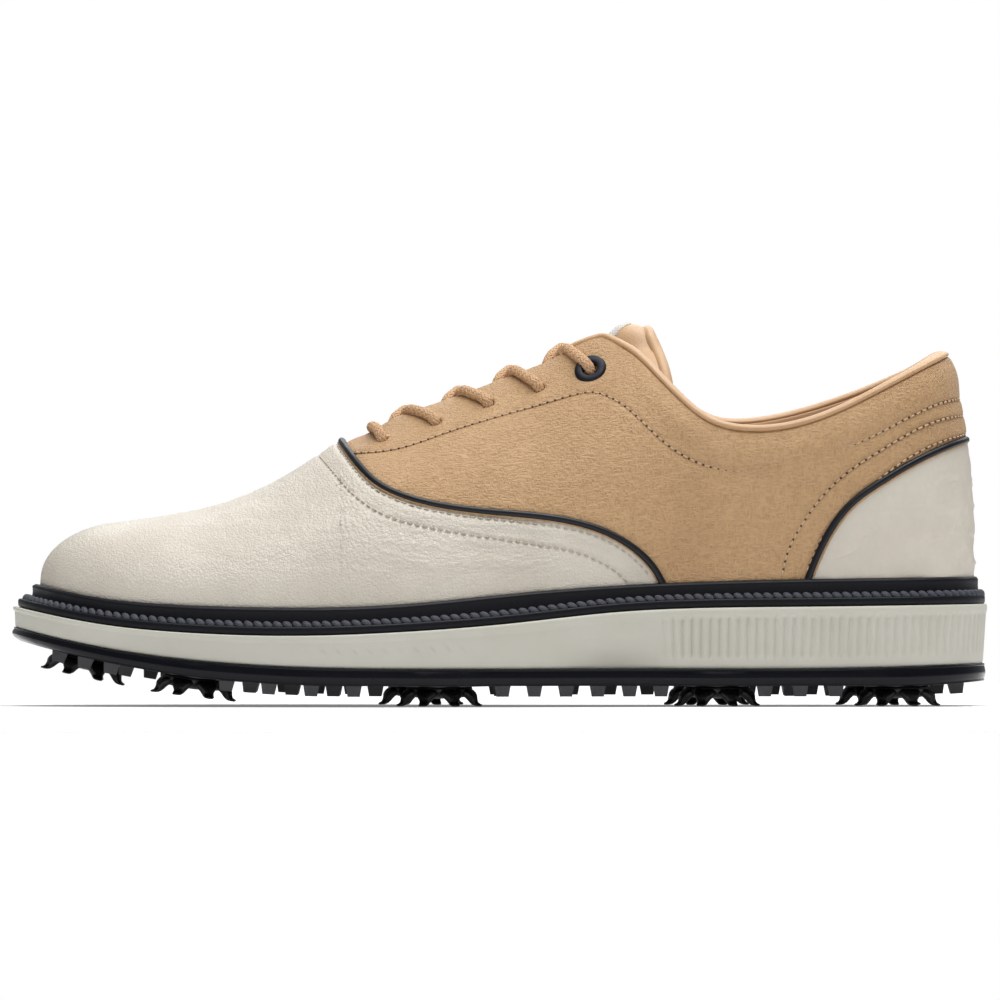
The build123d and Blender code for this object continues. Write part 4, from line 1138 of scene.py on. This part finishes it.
def build_rim():
    """The outsole's glossy rim, which swells beside each cleat, with a thin bead along its top."""
    stations = outline_walk(OUTSOLE_GROW, 0.9)
    x0, y0 = outline(stations, OUTSOLE_GROW)
    swell = np.zeros(len(stations))
    for cx, cy in CLEATS.values():
        swell += np.exp(-((x0 - cx) / 13.0) ** 2) * (np.sign(y0 - crown_y(x0)) == np.sign(cy - 3.0))
    swell = np.clip(swell, 0, 1)
    shape = [
        (0.0, -0.55), (0.03, 0.05), (0.07, 0.3), (0.12, 0.05), (0.17, 0.12), (0.3, 0.4), (0.45, 0.6), (0.6, 0.62),
        (0.75, 0.42), (0.87, 0.0), (0.95, -0.6), (1.0, -1.5),
    ]
    rings = []
    for down, out in shape:
        grow = out + RIM_SWELL * swell * sin(pi * down) + 1.2 * ramp(-x0, 120, 150)
        x, y = pushed(stations, OUTSOLE_GROW, 1.0, grow)
        top, foot = midsole_foot(x) + 0.1, tread(x) - 0.35 * swell
        rings.append(np.stack([x, y, top + (foot - top) * down], axis=1))
    inner_x, inner_y = outline(stations, OUTSOLE_GROW - 3.0)
    rings.append(np.stack([inner_x, inner_y, tread(inner_x) - 0.02], axis=1))
    rings.append(np.stack([inner_x, inner_y, midsole_foot(inner_x) - 0.1], axis=1))
    rings.append(rings[0])
    points = np.stack(rings, axis=1)
    made = piece("outsole_rim", points, grid_faces(len(stations), len(rings), closed=True), MATERIALS["outsole"])
    made.data.flip_normals()


def build_sockliner():
    """The cushioned sockliner, cupped round the heel, as seen down the mouth of the shoe."""
    stations = np.linspace(0, tau, 240, endpoint=False)
    rings = []
    for share in np.linspace(0, 1, 22):
        x, y = outline(stations, SOCK_GROW)
        centre_x = np.clip(x, -115.0, 122.0)
        centre_y = crown_y(centre_x)
        x, y = centre_x + (x - centre_x) * share, centre_y + (y - centre_y) * share
        cup = 2.6 * ramp(share, 0.72, 1.0) * ramp(x, -20, 60)
        rings.append(np.stack([x, y, flange_foot(x) + FLANGE + 6.6 + cup - 1.6 * ramp(x, 40, 90)], axis=1))
    top = np.stack(rings, axis=1)
    made = piece("sockliner_top", top, grid_faces(240, 22, closed=True, flip=True), MATERIALS["sock"],
                 replaces=["sockliner"], solid=SOCK_THICK)


def build_cleats():
    """Twist-in cleats: a domed hub with eight legs that splay, thin out and hook outward at the ground."""
    leg = [
        (5.0, -1.6, 1.9, 1.5), (8.0, -1.8, 3.1, 1.5), (9.9, -2.4, 3.5, 1.4), (10.9, -3.4, 2.9, 1.3),
        (11.5, -4.5, 2.0, 1.15), (12.2, -5.4, 1.55, 0.85), (13.1, -5.9, 1.4, 0.5), (14.0, -6.1, 1.15, 0.3),
    ]
    leg = curve_through(leg, 0.3)
    spine, wide, thick = leg[:, :2], leg[:, 2], leg[:, 3]
    hub_profile = [
        (0.0, -4.1), (3.6, -4.0), (6.6, -3.8), (8.9, -3.4), (10.1, -2.6), (10.5, -1.4), (10.2, -0.3), (9.4, -0.06),
        (4.4, -0.05), (4.3, 4.9), (0.0, 5.0),
    ]
    hub = turned(hub_profile, 48)
    for name, (x, y) in CLEATS.items():
        made = Parts()
        made.add(*hub)
        for i in range(CLEAT_LEGS):
            a = tau * (i + 0.5) / CLEAT_LEGS
            out = np.array([cos(a), sin(a), 0.0])
            line = spine[:, :1] * out + spine[:, 1:] * np.array([0.0, 0.0, 1.0])
            across = np.tile([-sin(a), cos(a), 0.0], (len(line), 1))
            along = unit(np.gradient(line, axis=0))
            made.add(*tube(line, wide, thick, across, np.cross(across, along), 16, 0.6))
        points = np.concatenate(made.points)
        low = points[:, 2] < -0.5
        points[low] += 0.1 * waves(points[low], 0.9)[:, None] * np.sign(points[low]) * (1, 1, 0.6)
        slope = float(tread(x + 1) - tread(x - 1)) / 2
        across_x = unit(np.array([1.0, 0.0, slope]))
        up = unit(np.array([-slope, 0.0, 1.0]))
        basis = np.stack([across_x, np.cross(up, across_x), up])
        placed = points @ basis + (x, y, float(tread(x)))
        placed[:, 2] = np.maximum(placed[:, 2], 0.0)
        cleat = piece(f"spike_{name}", placed, made.faces, MATERIALS["cleats"], body=f"cleat_{name}_body",
                      replaces=[f"cleat_{name}"])


# ---------------------------------------------------------------- tongue
def tongue_points(places, count, depth):
    """Points of the tongue's face at a depth under it."""
    rows = []
    for x in places:
        half = TONGUE_HALF_FRONT + (TONGUE_HALF_BACK - TONGUE_HALF_FRONT) * ramp(x, -60, 30)
        lateral = min(half, TONGUE_SHARE * half_width(np.array(x), -1, TONGUE_SIDE_DEPTH))
        medial = min(half, TONGUE_SHARE * half_width(np.array(x), 1, TONGUE_SIDE_DEPTH))
        middle = crown_y(x)
        low = angle_where(np.array(x), -1, lambda p: p[..., 1] < middle - lateral, TONGUE_SIDE_DEPTH)
        high = angle_where(np.array(x), 1, lambda p: p[..., 1] > middle + medial, TONGUE_SIDE_DEPTH)
        share = np.linspace(0, 1, count)
        away = np.abs(2 * share - 1)
        crown_line = tongue_crown(x)
        face = crown_line + (max(crown_line, TONGUE_SIDE_DEPTH) - crown_line) * ramp(away, 0.17, 0.42) + depth
        rows.append(np.stack([upper(x, low + (high - low) * s, f) for s, f in zip(share, face)]))
    return np.stack(rows)


def trimmed(points):
    """Draws the tongue's rear rows forward onto its shaped end."""
    end = curve_through(TONGUE_END)
    order = np.argsort(end[:, 1])
    limit = np.interp(points[..., 2], end[order, 1], end[order, 0]) - 0.9
    points = points.copy()
    share = ramp(points[..., 0], 20.0, TONGUE_BACK)
    points[..., 0] -= share * np.maximum(0.0, TONGUE_BACK - limit)
    return points


def build_tongue():
    """The padded tongue, quilted a little and rounded at its edges, with its bound end."""
    places = np.linspace(TONGUE_FRONT, TONGUE_BACK, 70)
    count = 61
    top = trimmed(tongue_points(places, count, 0.0))
    under = trimmed(tongue_points(places, count, TONGUE_THICK))
    share = np.linspace(0, 1, count)
    round_edge = np.minimum(1.0, np.minimum(share, 1 - share) * 14) ** 0.5
    round_end = np.minimum(1.0, (1 - np.linspace(0, 1, len(places))) * 16 + 0.35) ** 0.5
    puff = (round_edge[None, :] * round_end[:, None])[..., None]
    middle = (top + under) / 2
    quilt = 0.25 * (waves(top, 9.0))[..., None] * grid_normals(top)
    top = middle + (top - middle) * puff + quilt * puff
    under = middle + (under - middle) * puff
    rows, width = top.shape[:2]
    points = np.concatenate([top.reshape(-1, 3), under.reshape(-1, 3)])
    size = rows * width
    faces = grid_faces(rows, width) + grid_faces(rows, width, size, flip=True)
    rim = [i * width for i in range(rows)] + [(rows - 1) * width + j for j in range(1, width)]
    rim += [i * width + width - 1 for i in range(rows - 2, -1, -1)] + list(range(width - 2, 0, -1))
    faces += [[a, b, b + size, a + size] for a, b in zip(rim, rim[1:] + rim[:1])]
    pad = piece("tongue_pad", points, faces, MATERIALS["binding"], body="tongue",
                replaces=["tongue", "tongue_foam", "tongue_lining"])
    end_row = (top[-1] + under[-1]) / 2
    line = eased(spaced(end_row, 0.7), 10)
    made = Parts()
    across, up = turning_frames(line)
    made.add(*tube(line, 2.0, 2.0, across, up, 14))
    edge = made.piece("tongue_edge", MATERIALS["binding"], body="tongue", replaces=["tongue_binding"])
    build_label(top)


def build_label(top):
    """A round woven patch sewn on the tongue's head, without any mark."""
    radius = np.linspace(0, 1, 9)
    turn = np.linspace(0, tau, 48, endpoint=False)
    x = LABEL_X + LABEL_R * radius[:, None] * np.cos(turn)
    y = crown_y(LABEL_X) + LABEL_R * radius[:, None] * np.sin(turn)
    z = np.empty(x.shape)
    flat = top.reshape(-1, 3)
    for i in np.ndindex(x.shape):
        near = np.argsort((flat[:, 0] - x[i]) ** 2 + (flat[:, 1] - y[i]) ** 2)[:4]
        weight = 1 / (0.05 + np.hypot(flat[near, 0] - x[i], flat[near, 1] - y[i]))
        z[i] = (flat[near, 2] * weight).sum() / weight.sum()
    z += 0.55 - 0.25 * ramp(radius, 0.85, 1.0)[:, None]
    points = np.stack([x, y, z], axis=-1)
    faces = grid_faces(9, 48) + [[i * 48 + 47, (i + 1) * 48 + 47, (i + 1) * 48, i * 48] for i in range(8)]
    patch = piece("tongue_patch", points, faces, MATERIALS["label"], body="tongue", replaces=["tongue_label"],
                  solid=0.6)


# ---------------------------------------------------------------- lace
def hole_turn(row, side, over, under):
    x, angle = hole_place(row, side)
    return [upper_off(x, angle, over), upper_off(x, angle, under)]


def lace_half(side):
    """From the middle of the first row's bar, down through its hole and up the throat to a tucked end."""
    x, angle = hole_place(0, side)
    lean = x - BAR_LEAN
    points = [
        upper_off(lean, edge_angle(lean, side), BAR_OVER),
        upper_off((x + lean) / 2, (edge_angle(x, side) + angle) / 2, OVER - 0.3),
    ]
    points += hole_turn(0, side, OVER_HOLE, UNDER_HOLE)
    over = side < 0
    for row in range(1, len(HOLES)):
        points += crossing(row, side, over)
        side = -side
        over = not over
    return points + tucked_end(side)


def crossing(row, side, over):
    """From under one facing, up through the gap and over the other facing to its next hole."""
    x0, start = hole_place(row - 1, side)
    x1, finish = hole_place(row, -side)
    middle = (x0 + x1) / 2 - BAR_LEAN
    half = float(throat_half(middle))
    drift = (x1 - x0) / 2 / CROSS_REACH
    before, after = middle - drift * half, middle + drift * half
    points = []
    if side < 0:
        points.append(upper_off((before + x0) / 2, (start + edge_angle(before, side)) / 2, UNDER))
    climb = CROSS_OVER if over else CROSS_UNDER
    for along, height in ((1.3 - half, UNDER - 1.2), *climb, (half - 0.6, 0.3)):
        x = middle + drift * along
        points.append(np.array([x, crown_y(x) - side * along, crown(x) + height]))
    last = row == len(HOLES) - 1
    lift = EYELET_OVER - OVER_HOLE if last else 0.0
    if side > 0 or last:
        beside = (edge_angle(after, -side) + finish) / 2
        points.append(upper_off((after + x1) / 2, beside, OVER + 0.1 + 0.9 * lift))
    return points + hole_turn(row, -side, OVER_HOLE + lift, UNDER_HOLE - (0.4 if last else 0.0))


def tucked_end(side):
    """The end that lies between the facing and the tongue."""
    x, angle = hole_place(len(HOLES) - 1, side)
    down = -1 if side < 0 else 1
    places = ((-7, 11), (-22, 16), (-40, 17))
    return [upper_off(x + along, angle + down * np.radians(drop), UNDER) for along, drop in places]


def lace_line():
    """The lace's centreline, read from a smooth spline whose control points are the route's."""
    points = np.array(lace_half(1)[::-1] + lace_half(-1))
    curve = bpy.data.curves.new("lace_route", "CURVE")
    curve.dimensions = "3D"
    curve.resolution_u = 24
    spline = curve.splines.new("NURBS")
    spline.points.add(len(points) - 1)
    for point, place in zip(spline.points, points):
        point.co = (*(place * MM), 1.0)
    spline.order_u = 3
    spline.use_endpoint_u = True
    carrier = bpy.data.objects.new("lace_route", curve)
    mesh = bpy.data.meshes.new_from_object(carrier)
    line = np.array([v.co for v in mesh.vertices]) / MM
    bpy.data.objects.remove(carrier)
    bpy.data.meshes.remove(mesh)
    return spaced(line, 0.45)


def build_lace():
    """A round braid: strands that wind both ways round a core and pass over and under each other."""
    line = lace_line()
    across, up = turning_frames(line)
    along = run_length(line)
    made = Parts()
    made.add(*tube(line, LACE_R * 0.93, LACE_R * 0.93, across, up, 10))
    for way in (-1, 1):
        for k in range(BRAID_PAIRS):
            turn = way * tau * along / BRAID_LAY + tau * k / BRAID_PAIRS
            weave = np.cos(turn * BRAID_PAIRS * 0.5 * way + way * pi / 2 + pi * k)
            radius = LACE_R - 0.1 + 0.12 * weave
            out = across * np.cos(turn)[:, None] + up * np.sin(turn)[:, None]
            strand = line + out * radius[:, None]
            direction = unit(np.gradient(strand, axis=0))
            wide = unit(np.cross(direction, out))
            made.add(*tube(strand, 0.44, 0.25, wide, np.cross(wide, direction), 6))
    braid = made.piece("lace_braid", MATERIALS["lace"], replaces=["lace"])


# ---------------------------------------------------------------- what the CAD parts keep, with finer finish
def finish_cad():
    """Materials for the CAD nodes that stay, and rounded edges where they show."""
    looks = {
        "vamp_lining": "lining", "collar_foam": "foam", "heel_stiffener": "board", "toe_puff": "board",
        "insole_board": "board", "filler": "foam", "shank": "steel", "outsole": "outsole",
        "traction_lugs": "lugs", "cleat_receptacles": "cleats", "eyelet_washers": "eyelet",
        "lace_tips": "aglet",
    }
    for name, look in looks.items():
        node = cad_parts[name]
        node.data.materials.clear()
        node.data.materials.append(MATERIALS[look])
    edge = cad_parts["traction_lugs"].modifiers.new("rounded_edges", "BEVEL")
    edge.width = 0.35 * MM
    edge.segments = 2
    edge.limit_method = "ANGLE"
    edge.angle_limit = 0.6


# ---------------------------------------------------------------- studio
CENTRE = Vector((0.0, 0.0, 0.0646))
VIEW_WIDTH = 0.3138
LENS = 800.0
# Each softbox's place and size in metres, and its power in watts.
SOFTBOXES = {
    "key": ((0.12, -0.13, 1.19), (1.3, 0.9), 19.0),
    "front": ((0.1, -1.6, 0.55), (1.6, 1.0), 0.8),
    "back": ((0.2, 0.9, 0.8), (1.2, 0.8), 5.5),
}
FLOOR_REACH = 0.8
FLOOR_GLOW = 0.2
WORLD_LIGHT = 0.25


def build_camera():
    """A long lens, square to the shoe's outer side."""
    data = bpy.data.cameras.new("camera")
    data.lens = LENS
    data.sensor_width = 36.0
    distance = VIEW_WIDTH / 2 / (data.sensor_width / 2 / LENS)
    data.clip_end = 4 * distance
    camera = bpy.data.objects.new("camera", data)
    camera.location = CENTRE + Vector((0.0, -distance, 0.0))
    camera.rotation_euler = (pi / 2, 0.0, 0.0)
    bpy.context.scene.collection.objects.link(camera)
    bpy.context.scene.camera = camera


def softbox(name, place, size, power):
    data = bpy.data.lights.new(name, "AREA")
    data.shape = "RECTANGLE"
    data.size, data.size_y = size
    data.energy = power
    light = bpy.data.objects.new(name, data)
    light.location = place
    light.rotation_euler = (CENTRE - Vector(place)).to_track_quat("-Z", "Y").to_euler()
    bpy.context.scene.collection.objects.link(light)


def build_studio():
    """A pale floor, even white surroundings, and soft boxes above and in front."""
    mesh = bpy.data.meshes.new("floor")
    corners = ((-1, -1), (1, -1), (1, 1), (-1, 1))
    mesh.from_pydata([(x * FLOOR_REACH, y * FLOOR_REACH, 0) for x, y in corners], [], [(0, 1, 2, 3)])
    floor = bpy.data.objects.new("floor", mesh)
    bpy.context.scene.collection.objects.link(floor)
    paint = Shader("floor_paint", 0.9, 0.1)
    paint.colour(paint.mix(paint.noise(3.0), srgb(226, 226, 227), srgb(230, 230, 231)))
    paint.bsdf.inputs["Emission Color"].default_value = (1.0, 1.0, 1.0, 1.0)
    paint.bsdf.inputs["Emission Strength"].default_value = FLOOR_GLOW
    mesh.materials.append(paint.material)
    for name, values in SOFTBOXES.items():
        softbox(name, *values)
    world = bpy.data.worlds.new("world")
    world.use_nodes = True
    nodes, links = world.node_tree.nodes, world.node_tree.links
    light, seen = nodes["Background"], nodes.new("ShaderNodeBackground")
    light.inputs["Color"].default_value = (0.95, 0.97, 1.0, 1.0)
    light.inputs["Strength"].default_value = WORLD_LIGHT
    seen.inputs["Color"].default_value = (1.0, 1.0, 1.0, 1.0)
    mixed, path = nodes.new("ShaderNodeMixShader"), nodes.new("ShaderNodeLightPath")
    links.new(path.outputs["Is Camera Ray"], mixed.inputs["Fac"])
    links.new(light.outputs[0], mixed.inputs[1])
    links.new(seen.outputs[0], mixed.inputs[2])
    links.new(mixed.outputs[0], nodes["World Output"].inputs["Surface"])
    bpy.context.scene.world = world
    bpy.context.scene.view_settings.view_transform = "Standard"


for build in (
    build_camera, build_lace, build_vamp, build_heel_cap, build_quarters, build_lining, build_piping, build_binding,
    build_eyelets, build_stitches, build_welt, build_rope, build_midsole, build_rim, build_cleats, build_sockliner,
    build_tongue, finish_cad, build_studio,
):
    build()
